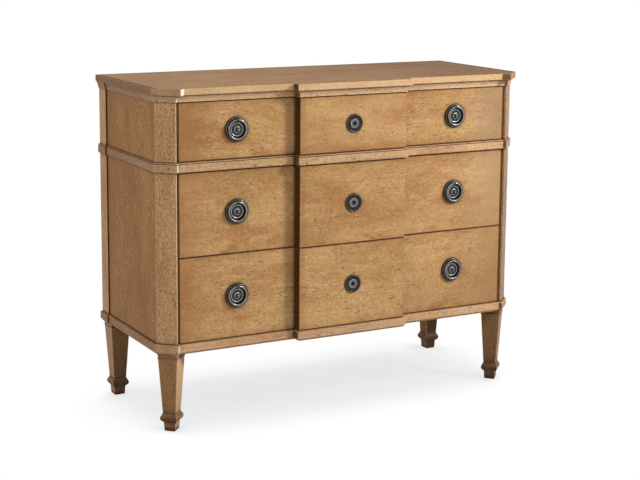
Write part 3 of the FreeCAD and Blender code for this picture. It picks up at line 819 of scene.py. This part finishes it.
def dress_corners(wood, left_return_highlight, glaze_and_shade, cant, left_cant):
    """Painted highlight on the narrow returns of the left corner; painted shade on those of the right
    corner, on the cants and on the left side of the middle step.
    """
    tree = wood.tree
    # Painted highlight on the returns of the left corner; painted shade on those of the right corner and on
    # the two cants.
    wood.over(times(tree, corner_face(tree, -1, 1), left_return_highlight), painted_highlight_cream)
    wood.over(times(tree, corner_face(tree, 1, -1), glaze_and_shade), glaze_and_shade_brown)
    wood.tint(times(tree, corner_face(tree, 1, 1), cant), shade_brown)
    wood.tint(times(tree, corner_face(tree, -1, -1), left_cant), shade_brown)
    # Painted shade on the left side of the middle step.
    wood.over(times(tree, step_return(tree), step_return_shade), glaze_and_shade_brown)


print("a corner's faces are turned", round(math.degrees(math.asin(slant))), "degrees from the front")

# %% [markdown]
# ## Mouldings
# Three mouldings run round the case: under the top, under the shallow drawer and at the base.
# Their edges get more wear and painted highlight than those of any board. The ledge of the lower
# two looks up and keeps some glaze, since a rag doesn't reach it. The front ones have their
# grain along x and get the corners, and the side ones, with their grain along y, are darker. One
# finish for all would be simpler, but in the picture the top moulding has less glaze on its
# ledge, and less glaze and painted shade in its corners, than the other two.

# %% Mouldings
front_seed = 11
side_seed = 12
ledge_match = (0.3, 0.8)
edge_tones = (colour(0.655, 0.43, 0.25), colour(0.55, 0.34, 0.185), colour(0.53, 0.285, 0.148))
side_tones = (colour(0.45, 0.252, 0.122), colour(0.36, 0.190, 0.083), colour(0.34, 0.153, 0.066))


class MouldingFinish(NamedTuple):
    """How much glaze is left on the ledge, how much glaze and painted shade lie in the corners, and how
    much the wood is shaded.
    """
    ledge_glaze: float
    corner_glaze_and_shade: float
    shade: float


def moulding_wood(name, axis, seed, finish):
    """A length of moulding. The front ones, with their grain along x, also have the corners."""
    wood = stained_wood(name, edge_tones if axis == "x" else side_tones, axis, seed)
    if axis == "x":
        dress_corners(wood, left_return_highlight=0.85, glaze_and_shade=0.75, cant=0.8, left_cant=0.3)
    wood.tint(finish.shade, shade_brown)
    ledge = facing(wood.tree, upward, *ledge_match)
    wood.over(times(wood.tree, ledge, finish.ledge_glaze), glaze_and_shade_brown)
    return close(wood, wear_and_highlight=0.9, glaze_and_shade=finish.corner_glaze_and_shade)


moulding_finish = {
    "top": MouldingFinish(ledge_glaze=0.0, corner_glaze_and_shade=0.5, shade=0.0),
    "waist": MouldingFinish(ledge_glaze=0.6, corner_glaze_and_shade=0.85, shade=0.22),
    "base": MouldingFinish(ledge_glaze=0.35, corner_glaze_and_shade=0.85, shade=0.2),
}
for moulding, finish in moulding_finish.items():
    front = moulding_wood(f"{moulding} front moulding wood", "x", front_seed, finish)
    dress(f"{moulding}_moulding_front", front)
    side = moulding_wood(f"{moulding} side moulding wood", "y", side_seed, finish)
    for hand in hands:
        dress(f"{moulding}_moulding_{hand}", side)
print("mouldings dressed:", len(moulding_finish) * 3)

# %% [markdown]
# ## Upright boards
# The front corners are stiles set at 45 degrees, the rear corners are posts, and a plain panel
# fills each side between them. Their grain runs up. The stiles are mottled and a little darker
# toward the foot, the narrow front of a post is dark brown all over, and a side panel is deeper
# along its borders. The right cant gets a painted shade of cool grey, as in the picture.
# One material for all would be quicker, but then the grain would run on from board to board
# as if the case were one block. So each kind of board gets its own seed.

# %% Upright boards
stile_tones = (colour(0.60, 0.362, 0.188), colour(0.485, 0.272, 0.127), colour(0.45, 0.222, 0.102))
panel_tones = (colour(0.43, 0.195, 0.044), colour(0.32, 0.136, 0.027), colour(0.30, 0.114, 0.024))
right_cant_shade = colour(0.45, 0.48, 0.54)
stile_foot_heights = (0.25, 0.80)
stile_foot_shade = 0.2
post_front_match = (0.5, 0.9)
panel_rear = {"width": 0.10, "share": 0.4}
panel_front = {"width": 0.024, "share": 0.35}
panel_ends = {"width": 0.03, "share": 0.3}


def stile_wood(hand):
    """A canted corner stile."""
    wood = stained_wood(f"{hand} stile wood", stile_tones, "z", seed=21, mottle=0.75, dashes=0.35)
    dress_corners(wood, left_return_highlight=0.3, glaze_and_shade=0.15, cant=0.0, left_cant=0.0)
    # Painted shade: the right cant is darkened with a cool grey.
    wood.tint(corner_face(wood.tree, 1, 1), right_cant_shade)
    _, _, z = axes(wood.tree)
    wood.tint(fade(wood.tree, z, *stile_foot_heights, stile_foot_shade, 0.0), shade_brown)
    return close(wood, wear_and_highlight=0.7)


def post_wood(hand):
    """A rear corner post."""
    wood = stained_wood(f"{hand} post wood", stile_tones, "z", seed=23)
    wood.over(facing(wood.tree, frontward, *post_front_match), glaze_and_shade_brown)
    return close(wood)


def panel_wood(hand):
    """A side panel, deeper along its rear, its front, its top and its bottom."""
    wood = stained_wood(f"{hand} side panel wood", panel_tones, "z", seed=25, dashes=0.85, mottle=0.6)
    low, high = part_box(f"side_panel_{hand}")
    tree = wood.tree
    _, y, z = axes(tree)
    deepest = panel_tones[2]
    wood.over(border(tree, minus(tree, high[1], y), **panel_rear), deepest)
    wood.over(border(tree, minus(tree, y, low[1]), **panel_front), deepest)
    wood.over(border(tree, band(tree, z, low[2], high[2]), **panel_ends), deepest)
    return close(wood, wear_and_highlight=0.2)


for hand in hands:
    dress(f"front_stile_{hand}", stile_wood(hand))
    dress(f"rear_post_{hand}", post_wood(hand))
    dress(f"side_panel_{hand}", panel_wood(hand))
print("upright boards dressed:", len(hands) * 3)

# %% [markdown]
# ## Legs: shaft
# Each leg is square, tapers toward the floor and has a collar just above its foot. The shaft is
# darkened with a painted shade that gets heavier downward, mostly on the faces that look to the
# front, and it is finely speckled. A colour attribute on the points could hold such a run, but
# the shaft has only a few points to carry it. So the height above the floor and the direction
# of a face set it.

# %% Legs: shaft
leg_shade_brown = colour(0.085, 0.044, 0.025)
heavy_leg_shade_brown = colour(0.055, 0.027, 0.014)
leg_heights = (0.05, 0.203)
low_shade_gain = 0.16
away_match = (-0.3, 0.3)
shade_speckle = Pattern(1.0, 240.0, 3.0, 0.75, starts=0.35, full=0.65, seed_step=even_step)


class LegFinish(NamedTuple):
    """The painted shade of one leg, how thick it is on the shaft and at the foot, and where it faces."""
    seed: int
    shade: float
    shaded_way: tuple
    foot_shade: float
    glaze_and_shade: tuple


def shade_shaft(wood, z, finish):
    """Painted shade on the faces that look one way, thicker toward the foot."""
    tree = wood.tree
    low_shade = fade(tree, z, *leg_heights, finish.shade + low_shade_gain, finish.shade)
    shaded_faces = times(tree, low_shade, facing(tree, finish.shaded_way, *away_match))
    speckle = wood.shown(shade_speckle, least=0.72, most=1.15)
    wood.over(times(tree, shaded_faces, speckle), finish.glaze_and_shade)


print("the glaze on a shaft thickens from", leg_heights[1], "m down to", leg_heights[0], "m")

# %% [markdown]
# ## Legs: collar and foot
# The painted shade lies thick under the collar, on it and in a line at the sole, and in patches
# over the foot. The collar is part of the leg, and a second material for it would need faces
# picked by hand. So each of these is a band between two heights.

# %% Legs: collar and foot
under_collar_start = (0.019, 0.026)
under_collar_end = (0.0325, 0.0385)
under_collar_share = 0.95
foot_end = (0.03, 0.08)
collar_start = (0.030, 0.036)
collar_end = (0.045, 0.060)
collar_share = 0.5
sole_end = (0.001, 0.005)
sole_share = 0.75
foot_shade_patches = Pattern(1.0, 75.0, 3.0, 0.7, starts=0.36, full=0.6, seed_step=even_step)


def shade_foot(wood, z, foot_shade):
    """Patchy painted shade under the collar, on the foot and on the collar, and a line of it at the sole.
    """
    tree = wood.tree
    patchy = wood.shown(foot_shade_patches, least=0.5)
    above = fade(tree, z, *under_collar_start)
    below = fade(tree, z, *under_collar_end, under_collar_share, 0.0)
    wood.over(times(tree, times(tree, above, below), patchy), leg_shade_brown)
    wood.over(times(tree, fade(tree, z, *foot_end, foot_shade, 0.0), patchy), leg_shade_brown)
    on_collar = times(tree, fade(tree, z, *collar_start), fade(tree, z, *collar_end, collar_share, 0.0))
    wood.over(times(tree, on_collar, patchy), leg_shade_brown)
    wood.over(fade(tree, z, *sole_end, sole_share, 0.0), leg_shade_brown)


print("the glaze on a collar ends", collar_end[1], "m above the floor")

# %% [markdown]
# ## Legs
# The four legs share their tones but not their painted shade. In the picture each right leg is
# darker than the left one beside it, and the right rear leg is the darkest. One average leg
# would be simpler, but the legs stand alone against white, where such differences show. So a
# small table holds them.

# %% Legs
leg_tones = (colour(0.51, 0.272, 0.122), colour(0.41, 0.206, 0.085), colour(0.37, 0.160, 0.063))
lit_tan = colour(0.88, 0.56, 0.29)
lit_share = 0.75


def leg_wood(name, finish):
    """The wood of one leg."""
    wood = stained_wood(name, leg_tones, "z", finish.seed, mottle=0.45, dashes=0.4, specks=0.6)
    wood.over(times(wood.tree, corner_face(wood.tree, -1, 1), lit_share), lit_tan)
    _, _, z = axes(wood.tree)
    shade_shaft(wood, z, finish)
    shade_foot(wood, z, finish.foot_shade)
    return close(wood, wear_and_highlight=0.8, reach=0.018)


leg_finish = {
    ("front", "left"): LegFinish(
        seed=27, shade=0.31, shaded_way=frontward, foot_shade=0.22, glaze_and_shade=leg_shade_brown),
    ("rear", "left"): LegFinish(
        seed=29, shade=0.62, shaded_way=(slant, -slant, 0), foot_shade=0.2, glaze_and_shade=leg_shade_brown),
    ("front", "right"): LegFinish(
        seed=27, shade=0.52, shaded_way=frontward, foot_shade=0.8, glaze_and_shade=leg_shade_brown),
    ("rear", "right"): LegFinish(
        seed=29, shade=1.2, shaded_way=(0.12, -1, 0), foot_shade=0.2, glaze_and_shade=heavy_leg_shade_brown),
}
for (end, hand), finish in leg_finish.items():
    dress(f"{end}_leg_{hand}", leg_wood(f"{end} {hand} leg wood", finish))
print("glaze on the legs:", {" ".join(place): finish.shade for place, finish in leg_finish.items()})

# %% [markdown]
# ## Top
# The top is one thick slab. Its upper face carries a painted shade, greyer and redder than the
# rest and darker toward the right, and glaze is left along its ends and its back. Its front edge
# is a warmer tan, and the two ends carry a painted shade. These could be three materials on one
# board, but then the grain would break at each edge. One material with a mask for each
# direction lets it run on over the edge.

# %% Top
slab_tones = (colour(0.63, 0.445, 0.272), colour(0.54, 0.360, 0.208), colour(0.52, 0.308, 0.170))
upper_face_shade = colour(0.60, 0.500, 0.425)
side_shade = colour(0.54, 0.46, 0.44)
right_shade = colour(0.49, 0.46, 0.44)
right_shade_places = (-0.3, 0.55)
right_shade_share = 0.8
front_edge_tan = colour(0.75, 0.457, 0.22)
front_edge_share = 0.3
top_match = (0.6, 0.9)
rim_glaze_end = (0.006, 0.016)
rim_glaze_share = 0.8


def tone_faces(wood, x, on_top):
    """Darken the upper face with a painted shade that deepens toward the right, give the two ends a painted
    shade and warm the front edge.
    """
    tree = wood.tree
    wood.tint(on_top, upper_face_shade)
    wood.tint(times(tree, on_top, fade(tree, x, *right_shade_places, 0.0, right_shade_share)), right_shade)
    on_left = facing(tree, leftward, *square_on)
    wood.tint(calc(tree, "MAXIMUM", on_left, facing(tree, rightward, *square_on)), side_shade)
    wood.over(times(tree, facing(tree, frontward, *square_on), front_edge_share), front_edge_tan)


def top_wood(low, high):
    """The wood of the slab."""
    wood = stained_wood("top wood", slab_tones, "x", seed=31, dashes=0.35)
    tree = wood.tree
    x, y, _ = axes(tree)
    on_top = facing(tree, upward, *top_match)
    tone_faces(wood, x, on_top)
    rim = calc(tree, "MINIMUM", band(tree, x, low[0], high[0]), minus(tree, high[1], y))
    wood.over(times(tree, fade(tree, rim, *rim_glaze_end, rim_glaze_share, 0.0), on_top), glaze_and_shade_brown)
    dress_corners(wood, left_return_highlight=1.0, glaze_and_shade=0.6, cant=1.0, left_cant=0.6)
    return close(wood, wear_and_highlight=0.8, glaze_and_shade=0.5, reach=0.006, specular=0.02, rough=0.55)


low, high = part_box("top_slab")
dress("top_slab", top_wood(low, high))
print("the top is", round(high[0] - low[0], 3), "m wide and", round(high[2] - low[2], 3), "m thick")

# %% [markdown]
# ## Inner wood
# Boards that show only when a drawer is open are plain pale wood without stain, as on most
# furniture, and the back is a little darker. The class for stained wood could make them with
# most of its layers at nothing. A function of its own is shorter: two tones and fine grain
# lines. Boards with the same grain direction share one material.

# %% Inner wood
inner_drifts = Pattern(6.0, 14.0, 4.0, 0.6, starts=0.3, full=0.7, distortion=0.6)
inner_lines = Pattern(16.0, 260.0, 4.0, 0.7, starts=0.45, full=0.75, seed_step=0.5)
inner_line_share = 0.45
inner_specular = 0.15
inner_roughness = (0.5, 0.65)
inner_relief = {"Strength": 0.1, "Distance": 0.0003}
inner_tones = (colour(0.64, 0.435, 0.245), colour(0.50, 0.315, 0.160))
back_tones = (colour(0.52, 0.315, 0.155), colour(0.41, 0.225, 0.100))


def plain_wood(name, tones, axis, seed, joint=None):
    """Unstained wood for the boards inside, and a joint drawn on it if one is given."""
    pale, deep = tones
    material, tree, shader = new_material(name)
    drift = showing(tree, grain_noise(tree, axis, seed, inner_drifts), inner_drifts)
    base = lay(tree, drift, pale, deep)
    lines = grain_noise(tree, axis, seed, inner_lines)
    base = lay(tree, showing(tree, lines, inner_lines, most=inner_line_share), base, deep, "MULTIPLY")
    if joint:
        base = joint(tree, base)
    bump = put(tree, "ShaderNodeBump", {"Height": lines, **inner_relief})
    fill(tree, shader, {
        "Base Color": base,
        "Specular IOR Level": inner_specular,
        "Roughness": fade(tree, lines, *line_levels, *inner_roughness),
        "Normal": bump.outputs["Normal"],
    })
    return material


across = plain_wood("inner wood across", inner_tones, "x", seed=41)
front_to_back = plain_wood("inner wood front to back", inner_tones, "y", seed=43)
for drawer in drawers:
    dress(f"{drawer}_drawer_back", across)
    dress(f"{drawer}_drawer_bottom", front_to_back)
    dress(f"{drawer}_drawer_runners", front_to_back)
for board in ("top_rail", "waist_rail", "middle_rail", "base_rail", "bottom_panel"):
    dress(board, across)
dress("back_panel", plain_wood("back board", back_tones, "z", seed=45))
print("inner boards dressed with", across.name, "and", front_to_back.name)

# %% [markdown]
# ## Dovetails
# A drawer side meets its front in dovetails, and their outline shows on the outside of the side
# when the drawer is open. They could be cut into the boards, but the joint is closed and flush,
# so only its colour shows. It is drawn from coordinates: the height is divided into equal
# tails, the pins between them widen with the distance from the front end of the side, and a
# thin dark line runs round each pin.

# %% Dovetails
tail_depth = 0.012
tail_end_blur = 0.0004
pin_spacing = 0.034
pin_half_width = 0.0028
pin_slope = 0.28
pin_blur = 0.0002
pin_line = (0.0003, 0.0008)
pin_line_share = 0.8
pin_brown = colour(0.30, 0.165, 0.07)
left_to_right = (-0.9, 0.9)
outside_share = 0.45


def from_nearest_pin(tree, height, spacing):
    """The distance, up or down, to the middle of the nearest pin."""
    turn = calc(tree, "FRACT", calc(tree, "DIVIDE", height, spacing))
    return times(tree, calc(tree, "MINIMUM", turn, minus(tree, 1.0, turn)), spacing)


def dovetails(node):
    """Pins of the drawer front between the tails of this side, with thin dark lines round them."""
    low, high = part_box(node)
    height = high[2] - low[2]
    tails = round(height / pin_spacing)
    spacing = height / tails
    print(node, "has", tails, "tails")

    def draw(tree, base):
        _, y, z = axes(tree)
        depth = minus(tree, y, low[1])
        from_pin = from_nearest_pin(tree, minus(tree, z, low[2]), spacing)
        half = calc(tree, "ADD", times(tree, depth, pin_slope), pin_half_width)
        inside = minus(tree, half, from_pin)
        to_a_side = calc(tree, "ABSOLUTE", minus(tree, facing(tree, rightward, *left_to_right), 0.5))
        in_depth = fade(tree, depth, tail_depth + tail_end_blur, tail_depth)
        there = times(tree, in_depth, calc(tree, "GREATER_THAN", to_a_side, outside_share))
        pin = times(tree, fade(tree, inside, -pin_blur, pin_blur), there)
        line = fade(tree, calc(tree, "ABSOLUTE", inside), *pin_line, pin_line_share, 0.0)
        base = lay(tree, pin, base, pin_brown)
        return lay(tree, times(tree, line, there), base, glaze_and_shade_brown)

    return draw


for drawer in drawers:
    for hand in hands:
        side = f"{drawer}_drawer_side_{hand}"
        dress(side, plain_wood(f"{side} wood", inner_tones, "y", seed=47, joint=dovetails(side)))

# %% [markdown]
# ## Metal
# Pulls and keyhole plates are cast metal with a dark pewter patina. The patina is rubbed off on
# the high parts, so rims and rings are bright with wear and a painted highlight, and it stays
# black in the grooves. A plain metal shader with one grey would look like new. So the nodes that
# find corners and edges on the wood are used again, with a shorter reach, and noise gives the
# rest its spots.

# %% Metal
groove_black = colour(0.006, 0.006, 0.006)
groove_reach = 0.006
groove_openness = (0.55, 0.95)
groove_share = 0.9
metal_wear_and_highlight_width = 0.0012
spots_per_metre = 420.0
spot_detail = 3.0
spot_roughness = 0.6
spot_levels = (0.35, 0.7)
metal_roughness = (0.28, 0.45)
metal_relief = {"Strength": 0.15, "Distance": 0.0002}


def aged_metal(name, dark, bright, rubbed_and_lit_forms=None, rubbed=0.35):
    """Cast metal, dark in its grooves and bright on its edges, and rubbed bright elsewhere if given; the
    bright parts are wear and a painted highlight.
    """
    material, tree, shader = new_material(name)
    place = put(tree, "ShaderNodeTexCoord").outputs["Object"]
    openness = openness_at(tree, groove_reach)
    spots = fade(tree, cloud(tree, place, spots_per_metre, spot_detail, spot_roughness), *spot_levels)
    base = lay(tree, times(tree, spots, rubbed), dark, bright)
    base = lay(tree, edge_wear_and_highlight(tree, openness, metal_wear_and_highlight_width), base, bright)
    if rubbed_and_lit_forms:
        base = rubbed_and_lit_forms(tree, base, bright)
    base = lay(tree, fade(tree, openness, *groove_openness, groove_share, 0.0), base, groove_black)
    bump = put(tree, "ShaderNodeBump", {"Height": spots, **metal_relief})
    fill(tree, shader, {
        "Base Color": base,
        "Metallic": 1.0,
        "Roughness": fade(tree, spots, 0.0, 1.0, *metal_roughness),
        "Normal": bump.outputs["Normal"],
    })
    return material


ring_pewter = aged_metal("ring pewter", colour(0.155, 0.150, 0.138), colour(0.57, 0.56, 0.53))
screw_pewter = aged_metal("screw pewter", colour(0.12, 0.118, 0.115), colour(0.50, 0.50, 0.49))
bolt_steel = aged_metal("bolt steel", colour(0.35, 0.35, 0.36), colour(0.6, 0.6, 0.6))
for drawer in drawers:
    dress(f"{drawer}_pull_screws", screw_pewter)
    for hand in hands:
        dress(f"{drawer}_{hand}_ring", ring_pewter)
dress("leg_bolts", bolt_steel)
print("metals:", ring_pewter.name, screw_pewter.name, bolt_steel.name)

# %% [markdown]
# ## Round forms on the plates
# Hands have rubbed the raised parts of the plates bright, and this brightness also serves as a
# painted highlight on them. The Bevel node finds only sharp edges, and these forms are soft, so
# their brightness is drawn from the distance to the middle of the plate. A spherical Gradient
# texture could do it too, but its coordinates would have to be moved and scaled for each plate.

# %% Round forms on the plates
def radius_from(tree, side, height, middle):
    """The distance on the front from the middle of a plate."""
    flat = put(tree, "ShaderNodeCombineXYZ", {"X": side, "Z": height}).outputs["Vector"]
    return put(tree, "ShaderNodeVectorMath", {0: flat, 1: middle}, operation="DISTANCE").outputs["Value"]


def on_ring(tree, radius, ring_radius, half_width, share, full_part=0.0):
    """The share on a ring, going to nothing at half its width."""
    off_ring = calc(tree, "ABSOLUTE", minus(tree, radius, ring_radius))
    return border(tree, off_ring, half_width, share, full_part)


print("helpers for plates: radius_from, on_ring")

# %% [markdown]
# ## Keyhole plates
# A keyhole plate has a raised dish with its edge and a rim, and the metal round the keyhole is
# the darkest, since no hand reaches in. The keyhole itself is cut in the plate. A darker second
# material could mark the hollow, but it would end in a line, and this fades.

# %% Keyhole plates
keyhole_dark = colour(0.020, 0.017, 0.014)
keyhole_bright = colour(0.43, 0.43, 0.42)
dish_edge = {"ring_radius": 0.0105, "half_width": 0.0022, "share": 0.5}
dish_radius = 0.0125
dish_end = (dish_radius - 0.0012, dish_radius + 0.0002)
dish_share = 0.2
hollow_radius = 0.0055
hollow_full_part = 0.7
hollow_share = 0.85
rim_radius = 0.0203
rim_width = 0.001
rim_share = 0.1


def rubbed_and_lit_dish(node):
    """The raised dish and the rim of a keyhole plate rubbed bright, partly as a painted highlight, and dark
    round the keyhole.
    """
    low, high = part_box(node)
    middle = ((low[0] + high[0]) / 2, 0.0, (low[2] + high[2]) / 2)

    def draw(tree, base, bright):
        x, _, z = axes(tree)
        radius = radius_from(tree, x, z, middle)
        base = lay(tree, fade(tree, radius, *dish_end, dish_share, 0.0), base, bright)
        base = lay(tree, on_ring(tree, radius, **dish_edge), base, bright)
        rim = fade(tree, radius, rim_radius, rim_radius + rim_width, 0.0, rim_share)
        base = lay(tree, rim, base, bright)
        hollow = border(tree, radius, hollow_radius, hollow_share, hollow_full_part)
        return lay(tree, hollow, base, groove_black)

    return draw


for drawer in drawers:
    plate = f"{drawer}_escutcheon"
    pewter = aged_metal(f"{plate} pewter", keyhole_dark, keyhole_bright, rubbed_and_lit_dish(plate), rubbed=0.1)
    dress(plate, pewter)
print("keyhole plates polished:", len(drawers))

# %% [markdown]
# ## Pull plates
# The round plates behind the rings have a raised bead and a rolled rim. The two plates of a
# drawer are one mesh, and they stand at the same distance from the middle of the chest. Each
# could be drawn round its own middle, but without the sign of x one drawing serves both.

# %% Pull plates
plate_dark = colour(0.032, 0.029, 0.025)
plate_bright = colour(0.47, 0.46, 0.43)
plate_radius = 0.031
bead = {"ring_radius": 0.0162, "half_width": 0.0016, "share": 0.8, "full_part": 0.2}
roll = {"ring_radius": 0.0285, "half_width": 0.0018, "share": 0.2}


def rubbed_and_lit_bead(node):
    """The raised bead and the rolled rim of the two pull plates of a drawer, rubbed bright, partly as a
    painted highlight.
    """
    low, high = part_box(node)
    middle = (high[0] - plate_radius, 0.0, (low[2] + high[2]) / 2)

    def draw(tree, base, bright):
        x, _, z = axes(tree)
        radius = radius_from(tree, calc(tree, "ABSOLUTE", x), z, middle)
        base = lay(tree, on_ring(tree, radius, **bead), base, bright)
        return lay(tree, on_ring(tree, radius, **roll), base, bright)

    return draw


for drawer in drawers:
    plates = f"{drawer}_pull_plates"
    pewter = aged_metal(f"{plates} pewter", plate_dark, plate_bright, rubbed_and_lit_bead(plates), rubbed=0.14)
    dress(plates, pewter)
print("pull plates polished:", len(drawers) * 2)

# %% [markdown]
# ## A screw head
# A screw head is so small that a smooth dome with a sunk cross is enough. It is built ring by
# ring round its middle, which makes the cross a matter of pushing some points in. A Boolean
# could cut the cross too, but it leaves long thin faces on such a small dome.

# %% A screw head
head_radius = 0.0033
head_height = 0.0013
dome_roundness = 0.85
rim_part = 0.999
foot_depth = 0.0003
cross_depth = 0.0008
cross_reach = 0.0021
cross_half_width = 0.00042
ring_count = 12
points_per_ring = 48


def head_surface(across, up):
    """How far the head stands out at a place on it."""
    radius = math.hypot(across, up)
    if radius > head_radius * rim_part:
        return -foot_depth
    dome = head_height * math.sqrt(max(0.0, 1.0 - dome_roundness * (radius / head_radius) ** 2))
    in_cross = radius < cross_reach and min(abs(across), abs(up)) < cross_half_width
    return dome - cross_depth if in_cross else dome


def add_head(mesh, x, y, z):
    """One closed screw head that looks backward, with its foot a little way into the board."""
    last = [mesh.verts.new((x, y + head_surface(0, 0), z))] * points_per_ring
    for ring in range(1, ring_count + 1):
        radius = head_radius * ring / ring_count
        now = []
        for point in range(points_per_ring):
            angle = -math.tau * point / points_per_ring
            across, up = radius * math.cos(angle), radius * math.sin(angle)
            now.append(mesh.verts.new((x + across, y + head_surface(across, up), z + up)))
        for point in range(points_per_ring):
            after = (point + 1) % points_per_ring
            corners = (last[point], now[point], now[after], last[after])
            mesh.faces.new(corners if ring > 1 else corners[:3]).smooth = True
        last = now
    mesh.faces.new(last[::-1])


head_points = ring_count * points_per_ring + 1
print("a screw head stands out", head_height * mm_per_m, "mm and has", head_points, "points")

# %% [markdown]
# ## Screws in the back
# The back board is screwed into the rebates of the rear posts and to the bottom. Each head
# could be an object that shares one mesh, but nobody moves them apart, so a single mesh holds
# all of them and rides the case.

# %% Screws in the back
screw_inset = 0.005
row_shares = (0.08, 0.25, 0.42, 0.58, 0.75, 0.92)
bottom_shares = (0.1, 0.3, 0.5, 0.7, 0.9)


def screw_places(low, high):
    """A row of screws up each side of the back board, and one along its foot."""
    places = []
    for share in row_shares:
        for x in (low[0] + screw_inset, high[0] - screw_inset):
            places.append((x, high[1], low[2] + (high[2] - low[2]) * share))
    for share in bottom_shares:
        x = low[0] + (high[0] - low[0]) * share
        places.append((x, high[1], low[2] + screw_inset + head_radius))
    return places


def add_screws(places):
    """All the screw heads in one mesh that rides the case."""
    mesh = bmesh.new()
    for place in places:
        add_head(mesh, *place)
    data = bpy.data.meshes.new("back_screws")
    mesh.to_mesh(data)
    mesh.free()
    screws = bpy.data.objects.new("back_screws", data)
    bpy.context.scene.collection.objects.link(screws)
    data.materials.append(bolt_steel)
    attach(screws, "case")


low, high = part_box("back_panel")
back_places = screw_places(low, high)
add_screws(back_places)
print("screws in the back:", len(back_places))
